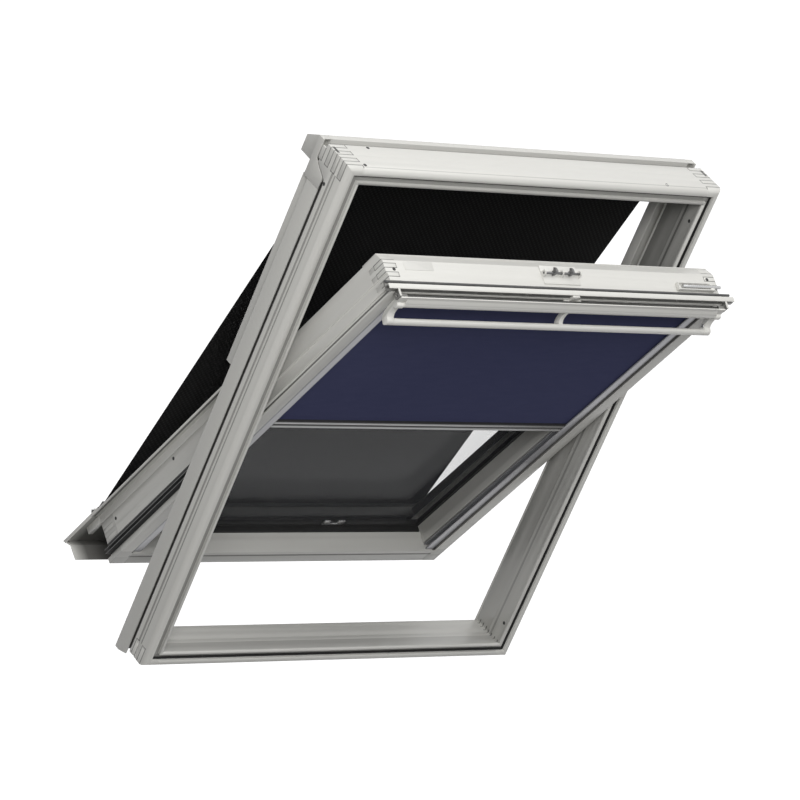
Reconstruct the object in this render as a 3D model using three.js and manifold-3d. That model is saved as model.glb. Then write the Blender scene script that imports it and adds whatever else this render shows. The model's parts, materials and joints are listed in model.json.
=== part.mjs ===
// Centre-pivot roof window with an outside awning blind and an inside blackout blind.
// Millimetres. X runs across the window, seen from the room, Y points outdoors and Z runs up the slope.
// The origin is at the middle of the underside of the frame's sill. The sash is shown part open.
import * as THREE from "three";
import { mergeVertices } from "three/addons/utils/BufferGeometryUtils.js";
import Module from "manifold-3d";

const wasm = await Module();
wasm.setup();

// Outer frame
const frameWidth = 780;
const frameHeight = 978;
const frameDepth = 80;
const headStand = 5.5;
const headDepth = frameDepth + headStand;
const memberWidth = 31;
const noseWidth = 9;
const noseRise = 12;
const frontStrip = 14;
const grooveWidth = 11.4;
const grooveDepth = 7;
const lipRound = 2;
const lipDepth = 6;
const innerStep = 2;
const outerStep = 3.5;
const stepDepth = 41;
const sillFall = 4;
const fineGroove = 1.2;
const wideGroove = 2;
const fineGrooveFirst = 24.5;
const fineGrooveSecond = 32.5;
const coverStart = 52.5;
const coverGapWidth = 7;
const coverGapDepth = 6;
const coverRecess = 2.3;
const headBandWidth = 10.5;
const headBandStart = frameDepth - headBandWidth;
const headBandDepth = 8;
const overrun = 6;
const sealGap = 0.6;
const sealWidth = 3;
const sealThickness = 3;

// Finger joints of the corners
const frameFingers = 8;
const jointGap = 0.4;
const sashFingerStart = 21;
const sashFingers = 5;
const sashFingerDepth = 8;
const sashFingerLength = 24;

// Frame covers
const sheet = 2;
const sideCoverStand = 4.5;
const sideCoverDepth = frameDepth + sideCoverStand;
const sideCoverLeg = 4.2;
const sideCoverDrop = 18;
const sideCoverSlant = 10;
const upperCoverStand = 20.5;
const upperCoverDepth = sideCoverDepth + upperCoverStand;
const upperCoverGap = 0.4;
const upperCoverEdge = 5;
const cornerHeight = 73;
const cornerRise = 17;
const cornerSweep = 24;
const cornerEdgeStand = 3;
const cornerEdge = frameDepth + cornerEdgeStand;
const cornerStand = 17;
const cornerDepth = frameDepth + cornerStand;

// Turning of the sash
const pivotStand = 8;
const pivotDepth = frameDepth + pivotStand;
const pivotAboveMiddle = 46;
const restAngle = 25.44;
const closedDepth = 4;
const closedBelowMiddle = 7.5;

// Sash, with its own origin in the middle of its front plane
const sashSideGap = 45;
const sashEndGap = 46;
const sashSetBack = 6;
const sashDepth = frameDepth - sashSetBack;
const stileWidth = 39;
const sashHeadWidth = 39;
const sashSillWidth = 31;
const flangeReach = 4.5;
const flangeDepth = 9.5;
const flangeThin = 2.5;
const upperGrooveEnd = 13;
const sideGrooveStart = 13.7;
const sideGrooveEnd = 35;
const sideGrooveDepth = 2.5;
const channelPocket = 21;
const channelPocketDepth = 16;
const beadStart = 30;
const beadStep = 1.5;
const rebateBack = 24;
const rebateDepth = sashDepth - rebateBack;
const rebateWidth = 26;
const rebateWall = 11.7;
const headPlate = 5;
const headPocketDepth = 30;
const headSlopeStart = 58;
const headSlopeFall = 10;
const sillLineDrop = 20;
const sillLineSize = 1.5;
const sillSealWidth = 12;
const sillSealStart = rebateDepth - sillSealWidth;
const sillSealHeight = 2;
const turnedGap = 0.3;

// Glass
const glassMargin = 2;
const gasketThickness = 2.7;
const gasketShow = 4;
const paneThickness = 4;
const spacerThickness = 12;
const spacerWidth = 10;

// Sash covers and gaskets
const coverPlateStand = 14;
const coverPlateStart = sashDepth + coverPlateStand;
const coverOverhang = 17;
const coverLipDepth = 2;
const coverBelowPivot = 9.5;
const coverGlassHold = 6;
const bottomCoverHold = 27;
const bottomCoverReach = 96;
const bottomFoldReach = 80;
const bottomBackReach = 78;
const bottomFoldIn = 15.3;
const bottomBackIn = 44.3;
const coverTopShow = 10;
const footClear = 1;
const footReach = 43;
const footWidth = 8;
const gasketReach = 10;
const gasketBase = 2;
const gasketFin = 2.2;
const gasketFirstFin = 16;
const gasketSecondFin = 22.8;
const gasketBelowPivot = 23.5;
const lipRise = 12;
const lipSheet = 2;
const lipFront = 8.5;
const lipWeb = 2;
const lipBasePlate = 1.2;
const lipFoot = 18.5;
const lipFootHeight = 2.7;
const lipOverhang = 14;
const headGasketWidth = 4.5;
const headGasketHeight = 3;
const ventHeight = 7;
const ventStart = 0.5;
const ventEnd = 2;
const ventSlotPitch = 50;
const ventBar = 6;
const ventSlotLow = 2;
const ventSlotHigh = 5.6;

// Pivot hinges
const hingePlate = 3;
const hingeHalfLength = 35;
const hingeStart = 47;
const hingeSashStart = 42;
const hingeRound = 8;
const hingePin = 4;
const hingeBore = 4.4;
const hingeArmHalf = 8;

// Awning blind outside the window
const mouthStand = 24.5;
const mouthDepth = headDepth + mouthStand;
const mouthBelowTop = 53;
const mouthHalf = 4.5;
const casingEndGap = 18;
const casingRise = 56;
const casingShoulderFall = 27;
const casingTopReach = 11.5;
const casingTopDepth = headDepth + casingTopReach;
const casingReach = 59.5;
const casingDepth = headDepth + casingReach;
const casingWall = 2;
const capSheet = 2;
const awningRollerRadius = 13;
const awningRollerRise = 20;
const awningPinRadius = 3;
const awningEndGap = 6;
const awningSideGap = 3;
const awningThickness = 0.8;
const awningMargin = 1.5;
const barHalfThickness = 4.5;
const barTop = 22;
const barPinLength = 11;
const hookInner = 3.4;
const hookOuter = 6;
const hookWidth = 7.5;
const hookGap = 2.5;
const hookClear = 7.2;
const hookBelowEnd = 3.5;
const hookBaseBottom = 24;
const hookBaseTop = 6;
const hookPlate = 2;

// Blackout blind inside the sash
const channelClear = 4;
const channelWidth = 16.5;
const channelFront = 3;
const channelBack = 14;
const channelWall = 2.5;
const channelFootGap = 0.5;
const channelTopGap = 1;
const casingBoxFront = 2;
const casingBoxBack = 28;
const casingBoxHeight = 28.5;
const casingBoxWall = 1.5;
const casingBoxGap = 0.5;
const slotStart = 6.5;
const slotEnd = 12;
const blindFront = 8.1;
const blindThickness = 0.6;
const blindSideGap = 8;
const blindRollerRadius = 8.2;
const blindRollerGap = 0.4;
const blindRollerDrop = 14.2;
const blindPinRadius = 2.5;
const blindPinLength = 7;
const bottomBarLow = 14;
const bottomBarHigh = 33;
const bottomBarFront = 3;
const bottomBarBack = 13;
const bottomBarClear = 0.9;
const tongueClear = 5;
const tongueFront = 6.5;
const tongueBack = 10.7;
const tongueInset = 2;

// Ventilation flap with the grip bar
const flapEndGap = 8;
const flapBack = 6;
const flapFrontTop = 13.5;
const flapFrontLow = 14.5;
const flapNose = 19.5;
const flapBendFall = 14;
const flapNoseFall = 19;
const flapFall = 25;
const flapRise = 6;
const flapAxisDepth = 8;
const flapAxisFall = 4;
const flapPinRadius = 2;
const flapPinLength = 6;
const earGap = 1.6;
const earWidth = 3.4;
const earFront = 12;
const earFall = 6;
const earBore = 2.4;
const gripDepth = 24;
const gripFall = 29.5;
const gripHalfDepth = 5;
const gripHalfHeight = 7;
const bracketWidth = 13;
const strutWidth = 8;
const strutAt = 15;
const catchAt = 19;
const catchHalf = 18;
const catchFoot = 2.2;
const catchBlockHalf = 7;
const catchFront = 3;
const catchEnd = 6.2;
const catchDrop = 4.6;
const knobRadius = 4;
const knobFront = 3.4;
const knobRise = 4.8;

// Lock, bolt and clip
const lockAt = 8;
const lockHalf = 38;
const lockFront = 26;
const lockBack = 60;
const lockPlate = 1.2;
const lockWall = 2;
const lockWallRadius = 5;
const latchDepth = 43;
const latchRise = 7;
const latchRadius = 2;
const latchBore = 2.4;
const latchClaw = 9.5;
const latchHub = 4;
const latchClawWidth = 4;
const latchClawAt = 17;
const latchTurn = 0.08;
const latchHook = 5;
const latchHookSheet = 2.4;
const strikerHalf = 44;
const strikerStart = 26;
const strikerEnd = 66;
const strikerThickness = 2.5;
const strikerSlotHalf = 6;
const strikerSlotInset = 9;
const boltStartIn = 93;
const boltEndIn = 15;
const boltDepth = 30;
const boltHalf = 7;
const boltHeight = 7;
const boltWall = 1.6;
const boltPost = 8;
const boltRadius = 3;
const boltBore = 3.3;
const boltTipIn = 1;
const boltTailIn = 83;
const clipStart = 90;
const clipEnd = 134;
const clipHeight = 14;
const clipThickness = 2.6;
const clipNotchStart = 12;
const clipNotchEnd = 30;
const clipFoot = 5;

// Places that follow from the sizes above
const halfWidth = frameWidth / 2;
const pivotHeight = frameHeight / 2 + pivotAboveMiddle;
const closedHeight = frameHeight / 2 - closedBelowMiddle;
const sashHalfWidth = halfWidth - sashSideGap;
const sashHalfHeight = frameHeight / 2 - sashEndGap;
const stileInner = sashHalfWidth - stileWidth;
const headInner = sashHalfHeight - sashHeadWidth;
const sillInner = sashHalfHeight - sashSillWidth;
const pivotInSash = pivotHeight - closedHeight;
const cornerBottom = frameHeight - cornerHeight;
const casingHalfWidth = halfWidth - casingEndGap;
const casingTop = frameHeight;
const casingBottom = frameHeight - casingRise;
const mouthHeight = frameHeight - mouthBelowTop;
const coverReach = sashHalfWidth + coverOverhang;
const bottomPlateStart = coverPlateStart + sheet + turnedGap;
const bottomCoverTop = sashHalfHeight - bottomCoverHold;
const bottomCoverEnd = sashHalfHeight + bottomCoverReach;
const bottomFoldHeight = sashHalfHeight + bottomFoldReach;
const bottomBackHeight = sashHalfHeight + bottomBackReach;
const bottomFoldDepth = bottomPlateStart - bottomFoldIn;
const bottomBackDepth = bottomPlateStart - bottomBackIn;
const hookDepth = bottomPlateStart + sheet + hookClear;
const hookHeight = sashHalfHeight + hookBelowEnd;
const awningHalfWidth = sashHalfWidth - awningSideGap;
const hookStart = awningHalfWidth + hookGap;
const channelHalf = stileInner + channelPocket - channelClear;
const casingBoxHalf = stileInner + channelPocket - casingBoxGap;
const casingBoxTop = sashHalfHeight - headPlate - casingBoxGap;
const casingBoxBottom = casingBoxTop - casingBoxHeight;
const channelTop = casingBoxBottom - channelTopGap;
const channelBottom = sillInner - channelFootGap;
const blindRollerHeight = casingBoxTop - blindRollerDrop;
const blindHalf = channelHalf - blindSideGap;
const bottomBarHalf = channelHalf - channelWidth - bottomBarClear;
const tongueReach = channelHalf - tongueClear;
const bracketReach = sashHalfWidth - flapEndGap;
const flapHalf = bracketReach - bracketWidth - turnedGap;
const flapTop = sashHalfHeight + flapRise;
const flapAxisHeight = flapTop - flapAxisFall;
const flapBottom = flapTop - flapFall;
const gripHeight = flapBottom - gripFall;
const lipTop = sashHalfHeight + lipRise;
const lipBottom = lipTop - lipSheet;
const lipHalfWidth = sashHalfWidth + lipOverhang;

// Smoothness of round shapes
const roundSides = 20;
const arcSteps = 5;

// Helpers

function shapeOf(points) {
  return new THREE.Shape(points.map(([a, b]) => new THREE.Vector2(a, b)));
}

function extruded(points, length, holes = []) {
  const shape = shapeOf(points);
  for (const hole of holes) {
    shape.holes.push(shapeOf(hole));
  }
  return new THREE.ExtrudeGeometry(shape, { depth: length, bevelEnabled: false, steps: 1 });
}

const axisX = new THREE.Vector3(1, 0, 0);
const axisY = new THREE.Vector3(0, 1, 0);
const axisZ = new THREE.Vector3(0, 0, 1);

// Outline in Y and Z, run along X
function alongX(points, start, end, holes) {
  const geometry = extruded(points, end - start, holes);
  geometry.applyMatrix4(new THREE.Matrix4().makeBasis(axisY, axisZ, axisX));
  return geometry.translate(start, 0, 0);
}

// Outline in X and Y, run along Z
function alongZ(points, start, end, holes) {
  return extruded(points, end - start, holes).translate(0, 0, start);
}

// Outline in X and Z, run along Y
function alongY(points, start, end, holes) {
  const geometry = extruded(points, end - start, holes);
  geometry.applyMatrix4(new THREE.Matrix4().makeBasis(axisX, axisZ, axisY.clone().negate()));
  return geometry.translate(0, end, 0);
}

function box(x0, x1, y0, y1, z0, z1) {
  const geometry = new THREE.BoxGeometry(x1 - x0, y1 - y0, z1 - z0);
  return geometry.translate((x0 + x1) / 2, (y0 + y1) / 2, (z0 + z1) / 2);
}

// Rod along X
function rod(radius, start, end, y, z) {
  const geometry = new THREE.CylinderGeometry(radius, radius, end - start, roundSides);
  geometry.rotateZ(Math.PI / 2);
  return geometry.translate((start + end) / 2, y, z);
}

// Turned piece along X from points of radius and place
function turned(points, y, z) {
  const profile = points.map(([radius, place]) => new THREE.Vector2(radius, place));
  const geometry = new THREE.LatheGeometry(profile, roundSides);
  geometry.rotateZ(-Math.PI / 2);
  return geometry.translate(0, y, z);
}

function solid(geometry) {
  const plain = geometry.clone();
  plain.deleteAttribute("normal");
  plain.deleteAttribute("uv");
  const merged = mergeVertices(plain);
  return new wasm.Manifold(
    new wasm.Mesh({
      numProp: 3,
      vertProperties: new Float32Array(merged.attributes.position.array),
      triVerts: new Uint32Array(merged.index.array),
    }),
  );
}

function geometryOf(body) {
  const mesh = body.getMesh();
  const indexed = new THREE.BufferGeometry();
  indexed.setAttribute("position", new THREE.BufferAttribute(new Float32Array(mesh.vertProperties), 3));
  indexed.setIndex(new THREE.BufferAttribute(new Uint32Array(mesh.triVerts), 1));
  const geometry = indexed.toNonIndexed();
  geometry.computeVertexNormals();
  return geometry;
}

function joined(...parts) {
  return geometryOf(parts.map(solid).reduce((a, b) => a.add(b)));
}

function cut(from, ...tools) {
  return geometryOf(tools.map(solid).reduce((a, b) => a.subtract(b), solid(from)));
}

function common(a, b) {
  return geometryOf(solid(a).intersect(solid(b)));
}

// The same shape on the other side of the window
function mirrored(geometry) {
  const flat = geometry.index ? geometry.toNonIndexed() : geometry.clone();
  const from = flat.attributes.position;
  const places = new Float32Array(from.count * 3);
  for (let i = 0; i < from.count; i += 3) {
    [0, 2, 1].forEach((corner, place) => {
      places[(i + place) * 3] = -from.getX(i + corner);
      places[(i + place) * 3 + 1] = from.getY(i + corner);
      places[(i + place) * 3 + 2] = from.getZ(i + corner);
    });
  }
  const geometryOut = new THREE.BufferGeometry();
  geometryOut.setAttribute("position", new THREE.BufferAttribute(places, 3));
  geometryOut.computeVertexNormals();
  return geometryOut;
}

// Points of an elliptical arc between two angles given in turns
function arc(cx, cy, rx, ry, from, to, steps = arcSteps) {
  return Array.from({ length: steps + 1 }, (_, i) => {
    const angle = 2 * Math.PI * (from + ((to - from) * i) / steps);
    return [cx + rx * Math.cos(angle), cy + ry * Math.sin(angle)];
  });
}

// Materials
const painted = new THREE.MeshStandardMaterial({ color: 0xc4c5c0, roughness: 0.42, metalness: 0 });
const cover = new THREE.MeshStandardMaterial({ color: 0xb4b5b1, roughness: 0.4, metalness: 0.3 });
const rubber = new THREE.MeshStandardMaterial({ color: 0x17181a, roughness: 0.8, metalness: 0 });
const aluminium = new THREE.MeshStandardMaterial({ color: 0xb9bac2, roughness: 0.38, metalness: 0.6 });
const steel = new THREE.MeshStandardMaterial({ color: 0xc9cacc, roughness: 0.25, metalness: 0.9 });
const black = new THREE.MeshStandardMaterial({ color: 0x1b1c1e, roughness: 0.5, metalness: 0.2 });
const mesh = new THREE.MeshStandardMaterial({ color: 0x111112, roughness: 0.9, metalness: 0 });
const navy = new THREE.MeshStandardMaterial({ color: 0x24284a, roughness: 0.85, metalness: 0 });
const glass = new THREE.MeshStandardMaterial({
  color: 0xe6eef2,
  roughness: 0.05,
  metalness: 0,
  transparent: true,
  opacity: 0.25,
});
const grey = new THREE.MeshStandardMaterial({ color: 0x8c8e90, roughness: 0.5, metalness: 0.2 });

function add(group, name, geometry, material) {
  const part = new THREE.Mesh(geometry, material);
  part.name = name;
  group.add(part);
}

function addPair(group, name, geometry, material) {
  add(group, `${name}_right`, geometry, material);
  add(group, `${name}_left`, mirrored(geometry), material);
}

// Outer frame. Its group puts depth 0 at the room face.

const root = new THREE.Group();
const frame = new THREE.Group();
frame.position.y = -frameDepth / 2;
root.add(frame);

const grooveStart = frontStrip;
const grooveEnd = frontStrip + grooveWidth;

// Sections of the frame members, from their outer edge inwards and from the room face outwards
const noseArc = arc(noseWidth, noseRise, noseWidth, noseRise, 0.5, 0.75);
const lipArc = arc(memberWidth - lipRound, lipRound, lipRound, lipRound, 0.75, 1, 2);
const jambInnerFace = [
  ...lipArc,
  [memberWidth, lipDepth],
  [memberWidth - innerStep, lipDepth],
  [memberWidth - innerStep, stepDepth],
  [memberWidth - outerStep, stepDepth],
  [memberWidth - outerStep, frameDepth],
];
const headInnerFace = [
  ...lipArc,
  [memberWidth, lipDepth],
  [memberWidth - innerStep, lipDepth],
  [memberWidth - innerStep, headDepth],
];
const sillInnerFace = [
  ...lipArc,
  [memberWidth, lipDepth],
  [memberWidth - innerStep, lipDepth],
  [memberWidth - innerStep - sillFall, stepDepth],
  [memberWidth - outerStep - sillFall, stepDepth],
  [memberWidth - outerStep - sillFall, frameDepth],
];

function groovePoints(at, size) {
  return [
    [0, at + size],
    [size, at],
    [0, at - size],
  ];
}

const jambOuterFace = [
  ...groovePoints(fineGrooveSecond, wideGroove),
  ...groovePoints(fineGrooveFirst, fineGroove),
];
const jambSection = [...noseArc, ...jambInnerFace, [0, frameDepth], ...jambOuterFace];
const headSection = [
  ...noseArc,
  ...headInnerFace,
  [headBandDepth, headDepth],
  [headBandDepth, headBandStart],
  [0, headBandStart],
];
const sillSection = [...noseArc, ...sillInnerFace, [0, frameDepth]];

// Everything outside a member's outer face, used to end the members that meet it
function outsideOf(face) {
  return [
    [-overrun * 2, headDepth + overrun],
    [-overrun * 2, -overrun],
    [noseWidth, -overrun],
    ...noseArc.slice().reverse(),
    ...face,
  ];
}
const besideJamb = outsideOf([...jambOuterFace.slice().reverse(), [0, headDepth + overrun]]);
const aboveHead = outsideOf([
  [0, headBandStart],
  [headBandDepth, headBandStart],
  [headBandDepth, headDepth + overrun],
]);
const belowSill = outsideOf([[0, headDepth + overrun]]);

// Everything from a member's inner face outwards
function outwardOf(innerFace) {
  return [
    [-overrun * 2, -overrun],
    [memberWidth - lipRound, -overrun],
    ...innerFace,
    [-overrun * 2, innerFace.at(-1)[1]],
  ];
}

function jambRun(points, reach = overrun) {
  return alongZ(
    points.map(([u, depth]) => [halfWidth - u, depth]),
    -reach,
    frameHeight + reach,
  );
}

function crossRun(points, place, direction, reach = overrun) {
  return alongX(
    points.map(([u, depth]) => [depth, place + direction * u]),
    -halfWidth - reach,
    halfWidth + reach,
  );
}

// Layers of the finger joint that belong to one member, counted from the room face
const fingerDepth = frameDepth / frameFingers;
function fingerLayers(first) {
  const layers = [];
  for (let i = first; i < frameFingers; i += 2) {
    const start = i === 0 ? -overrun : i * fingerDepth - jointGap / 2;
    const end = i === frameFingers - 1 ? frameDepth : (i + 1) * fingerDepth + jointGap / 2;
    layers.push(
      box(
        -halfWidth - overrun,
        halfWidth + overrun,
        start,
        end,
        -overrun,
        frameHeight + overrun,
      ),
    );
  }
  return joined(...layers);
}

// Each member runs through to the corner and gives way to the other one's fingers
const pastJamb = jambRun(outwardOf(jambInnerFace));
const pastHead = crossRun(outwardOf(headInnerFace), frameHeight, -1);
const pastSill = crossRun(outwardOf(sillInnerFace), 0, 1);
const jambLayers = fingerLayers(0);
const crossLayers = fingerLayers(1);
const grooveRing = alongY(
  ringOutline(halfWidth - grooveStart, grooveStart, frameHeight - grooveStart),
  -overrun,
  grooveDepth,
  [ringOutline(halfWidth - grooveEnd, grooveEnd, frameHeight - grooveEnd)],
);

// Curve of the edge where the corner covers sweep back
function coverSweep(back) {
  return Array.from({ length: arcSteps * 2 + 1 }, (_, i) => {
    const part = i / (arcSteps * 2);
    const swing = (1 - Math.cos(Math.PI * part)) / 2;
    return [
      coverStart - back + (cornerEdge - coverStart) * swing,
      cornerBottom + cornerRise + cornerSweep * part,
    ];
  });
}

// Bed of the covers and the open gap in front of them, cut into the outside face
const sweepTop = cornerBottom + cornerRise + cornerSweep;
const coverBed = alongX(
  [
    [coverStart - coverGapWidth, -overrun],
    ...coverSweep(coverGapWidth),
    [headDepth, sweepTop + coverGapWidth],
    [headDepth + overrun, sweepTop + coverGapWidth],
    [headDepth + overrun, -overrun],
  ],
  halfWidth - coverRecess,
  halfWidth + overrun,
);
const coverGap = alongX(
  [
    [coverStart - coverGapWidth, -overrun],
    ...coverSweep(coverGapWidth),
    [headDepth, sweepTop + coverGapWidth],
    [headDepth, sweepTop],
    ...coverSweep(0).reverse(),
    [coverStart, -overrun],
  ],
  halfWidth - coverGapDepth,
  halfWidth + overrun,
);

const jamb = cut(
  jambRun(jambSection, overrun / 2),
  crossRun(aboveHead, frameHeight, -1),
  crossRun(belowSill, 0, 1),
  common(pastHead, crossLayers),
  common(pastSill, crossLayers),
  grooveRing,
  coverBed,
  coverGap,
);
addPair(frame, "frame_jamb", jamb, painted);

const jambOutside = jambRun(besideJamb);
const jambFingers = common(pastJamb, jambLayers);
const ribEnd = box(
  casingHalfWidth,
  halfWidth + overrun,
  frameDepth,
  headDepth + overrun,
  -overrun,
  frameHeight + overrun,
);
function crossMember(prism) {
  const tools = [jambOutside, jambFingers, coverBed, coverGap, ribEnd];
  return cut(prism, grooveRing, ...tools, ...tools.map(mirrored));
}

add(
  frame,
  "frame_head",
  crossMember(crossRun(headSection, frameHeight, -1, overrun / 2)),
  painted,
);
add(frame, "frame_sill", crossMember(crossRun(sillSection, 0, 1, overrun / 2)), painted);

// Black seal in the groove of the room face
function ringOutline(x, low, high) {
  return [
    [-x, low],
    [x, low],
    [x, high],
    [-x, high],
  ];
}

const sealOuter = grooveStart + sealGap;
const sealInner = sealOuter + sealWidth;
add(
  frame,
  "lining_seal",
  alongY(
    ringOutline(halfWidth - sealOuter, sealOuter, frameHeight - sealOuter),
    grooveDepth - sealThickness,
    grooveDepth,
    [ringOutline(halfWidth - sealInner, sealInner, frameHeight - sealInner)],
  ),
  rubber,
);

// Corner covers, bent from sheet, over the ends of the head
const cornerInner = casingHalfWidth + capSheet + turnedGap;
const cornerSideOutline = [
  [coverStart, cornerBottom],
  ...coverSweep(0),
  [cornerEdge, frameHeight],
  [cornerDepth, frameHeight],
  [cornerDepth, cornerBottom],
];
const cornerCover = joined(
  alongX(cornerSideOutline, halfWidth - sheet, halfWidth),
  box(
    cornerInner,
    halfWidth,
    headDepth + turnedGap,
    cornerDepth,
    frameHeight - sheet,
    frameHeight,
  ),
  box(cornerInner, halfWidth, cornerDepth - sheet, cornerDepth, cornerBottom, frameHeight),
);

// Side covers: a strip on the outside face with a leg over the outdoor face
const sideCoverPrism = alongZ(
  [
    [halfWidth, coverStart],
    [halfWidth, sideCoverDepth],
    [halfWidth - memberWidth + outerStep, sideCoverDepth],
    [halfWidth - memberWidth + outerStep, sideCoverDepth - sideCoverLeg],
    [halfWidth - coverRecess + turnedGap, sideCoverDepth - sideCoverLeg],
    [halfWidth - coverRecess + turnedGap, coverStart],
  ],
  -sideCoverDrop,
  cornerBottom - turnedGap,
);
const slantCut = alongX(
  [
    [coverStart - overrun, -sideCoverDrop - overrun],
    [sideCoverDepth + overrun, -sideCoverDrop - overrun],
    [coverStart - overrun, sideCoverSlant - sideCoverDrop],
  ],
  halfWidth - overrun * 2,
  halfWidth + overrun,
);
const legCut = box(
  halfWidth / 2,
  halfWidth - coverRecess,
  0,
  sideCoverDepth + overrun,
  -sideCoverDrop - overrun,
  0,
);
addPair(frame, "side_cover", cut(sideCoverPrism, slantCut, legCut), cover);
addPair(frame, "corner_cover", cornerCover, cover);

// Upper covers: channels that stand on the side covers above the pivot
const upperCoverInner = sashHalfWidth + sheet;
const upperCoverOuter = halfWidth - upperCoverEdge;
const upperCoverStart = pivotHeight + hingeRound + hingePlate;
addPair(
  frame,
  "upper_cover",
  alongZ(
    [
      [upperCoverInner, sideCoverDepth + upperCoverGap],
      [upperCoverInner, upperCoverDepth],
      [upperCoverOuter, upperCoverDepth],
      [upperCoverOuter, sideCoverDepth],
      [upperCoverOuter - sheet, sideCoverDepth],
      [upperCoverOuter - sheet, upperCoverDepth - sheet],
      [upperCoverInner + sheet, upperCoverDepth - sheet],
      [upperCoverInner + sheet, sideCoverDepth + upperCoverGap],
    ],
    upperCoverStart,
    cornerBottom - turnedGap,
  ),
  cover,
);

// Awning casing with its downward slot, its end caps and the roller inside
const casingStart = headDepth;
const casingShoulder = frameHeight - casingShoulderFall;
const casingOuter = [
  [casingStart, casingBottom],
  [casingStart, casingTop],
  [casingTopDepth, casingTop],
  [casingDepth, casingShoulder],
  [casingDepth, casingBottom],
];
add(
  frame,
  "awning_casing",
  alongX(
    [
      [mouthDepth - mouthHalf, casingBottom],
      [casingStart, casingBottom],
      [casingStart, casingTop],
      [casingTopDepth, casingTop],
      [casingDepth, casingShoulder],
      [casingDepth, casingBottom],
      [mouthDepth + mouthHalf, casingBottom],
      [mouthDepth + mouthHalf, casingBottom + casingWall],
      [casingDepth - casingWall, casingBottom + casingWall],
      [casingDepth - casingWall, casingShoulder - casingWall / 2],
      [casingTopDepth - casingWall / 4, casingTop - casingWall],
      [casingStart + casingWall, casingTop - casingWall],
      [casingStart + casingWall, casingBottom + casingWall],
      [mouthDepth - mouthHalf, casingBottom + casingWall],
    ],
    -casingHalfWidth,
    casingHalfWidth,
  ),
  cover,
);
addPair(
  frame,
  "awning_cap",
  alongX(casingOuter, casingHalfWidth, casingHalfWidth + capSheet),
  cover,
);

// Place of the hook and lean of the awning fabric, with the sash as it stands
const rest = THREE.MathUtils.degToRad(restAngle);
const sashShiftY = closedDepth - pivotDepth;
const sashShiftZ = closedHeight - pivotHeight;
const hookY = hookDepth + sashShiftY;
const hookZ = sashShiftZ - hookHeight;
const hookWorldY = pivotDepth + hookY * Math.cos(rest) - hookZ * Math.sin(rest);
const hookWorldZ = pivotHeight + hookY * Math.sin(rest) + hookZ * Math.cos(rest);
const fabricLean = Math.atan2(mouthDepth - hookWorldY, mouthHeight - hookWorldZ);
const closedReach = Math.hypot(
  mouthDepth - pivotDepth - hookY,
  mouthHeight - pivotHeight - hookZ,
);
const restReach = Math.hypot(mouthDepth - hookWorldY, mouthHeight - hookWorldZ);

// The roller touches the outdoor side of the fabric just inside the slot
const rollerStand = awningRollerRadius + awningThickness;
const rollerY = mouthDepth + awningRollerRise * Math.sin(fabricLean) + rollerStand * Math.cos(fabricLean);
const rollerZ = mouthHeight + awningRollerRise * Math.cos(fabricLean) - rollerStand * Math.sin(fabricLean);
const rollerEnd = casingHalfWidth - awningEndGap;
const awningRoller = turned(
  [
    [0, turnedGap - casingHalfWidth],
    [awningPinRadius, turnedGap - casingHalfWidth],
    [awningPinRadius, -rollerEnd],
    [awningRollerRadius, -rollerEnd],
    [awningRollerRadius, rollerEnd],
    [awningPinRadius, rollerEnd],
    [awningPinRadius, casingHalfWidth - turnedGap],
    [0, casingHalfWidth - turnedGap],
  ],
  rollerY,
  rollerZ,
);
add(frame, "awning_roller", awningRoller, aluminium);

// Frame halves of the pivot hinges
const jambInner = halfWidth - memberWidth + outerStep;
const hingeFrameOuter = jambInner;
const hingeFrameInner = jambInner - hingePlate;
const hingeSashInner = sashHalfWidth + turnedGap;
const hingeSashOuter = hingeSashInner + hingePlate;
const hingeFrame = joined(
  alongX(
    [
      [hingeStart, pivotHeight - hingeHalfLength],
      [frameDepth, pivotHeight - hingeHalfLength],
      [frameDepth, pivotHeight - hingeArmHalf],
      [pivotDepth, pivotHeight - hingeArmHalf],
      ...arc(pivotDepth, pivotHeight, hingeRound, hingeRound, -0.25, 0.25, arcSteps * 2),
      [frameDepth, pivotHeight + hingeArmHalf],
      [frameDepth, pivotHeight + hingeHalfLength],
      [hingeStart, pivotHeight + hingeHalfLength],
    ],
    hingeFrameInner,
    hingeFrameOuter,
  ),
  rod(hingePin, sashHalfWidth + hingePlate / 2, hingeFrameOuter - hingePlate / 2, pivotDepth, pivotHeight),
);
addPair(frame, "hinge_frame", hingeFrame, steel);

// Striker for the lock, under the frame's head
const strikerFace = frameHeight - memberWidth + innerStep;
add(
  frame,
  "lock_striker",
  cut(
    box(
      lockAt - strikerHalf,
      lockAt + strikerHalf,
      strikerStart,
      strikerEnd,
      strikerFace - strikerThickness,
      strikerFace,
    ),
    box(
      lockAt - latchClawAt - strikerSlotHalf,
      lockAt - latchClawAt + strikerSlotHalf,
      strikerStart + strikerSlotInset,
      strikerEnd - strikerSlotInset,
      strikerFace - strikerThickness - overrun,
      strikerFace + overrun,
    ),
    box(
      lockAt + latchClawAt - strikerSlotHalf,
      lockAt + latchClawAt + strikerSlotHalf,
      strikerStart + strikerSlotInset,
      strikerEnd - strikerSlotInset,
      strikerFace - strikerThickness - overrun,
      strikerFace + overrun,
    ),
  ),
  steel,
);

// Sash. Its group turns about the pivot; inside it, Y is 0 at the sash's room face.

const sashTurn = new THREE.Group();
sashTurn.position.set(0, pivotDepth, pivotHeight);
sashTurn.rotation.x = rest;
frame.add(sashTurn);
const sash = new THREE.Group();
sash.position.set(0, sashShiftY, sashShiftZ);
sashTurn.add(sash);

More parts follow.
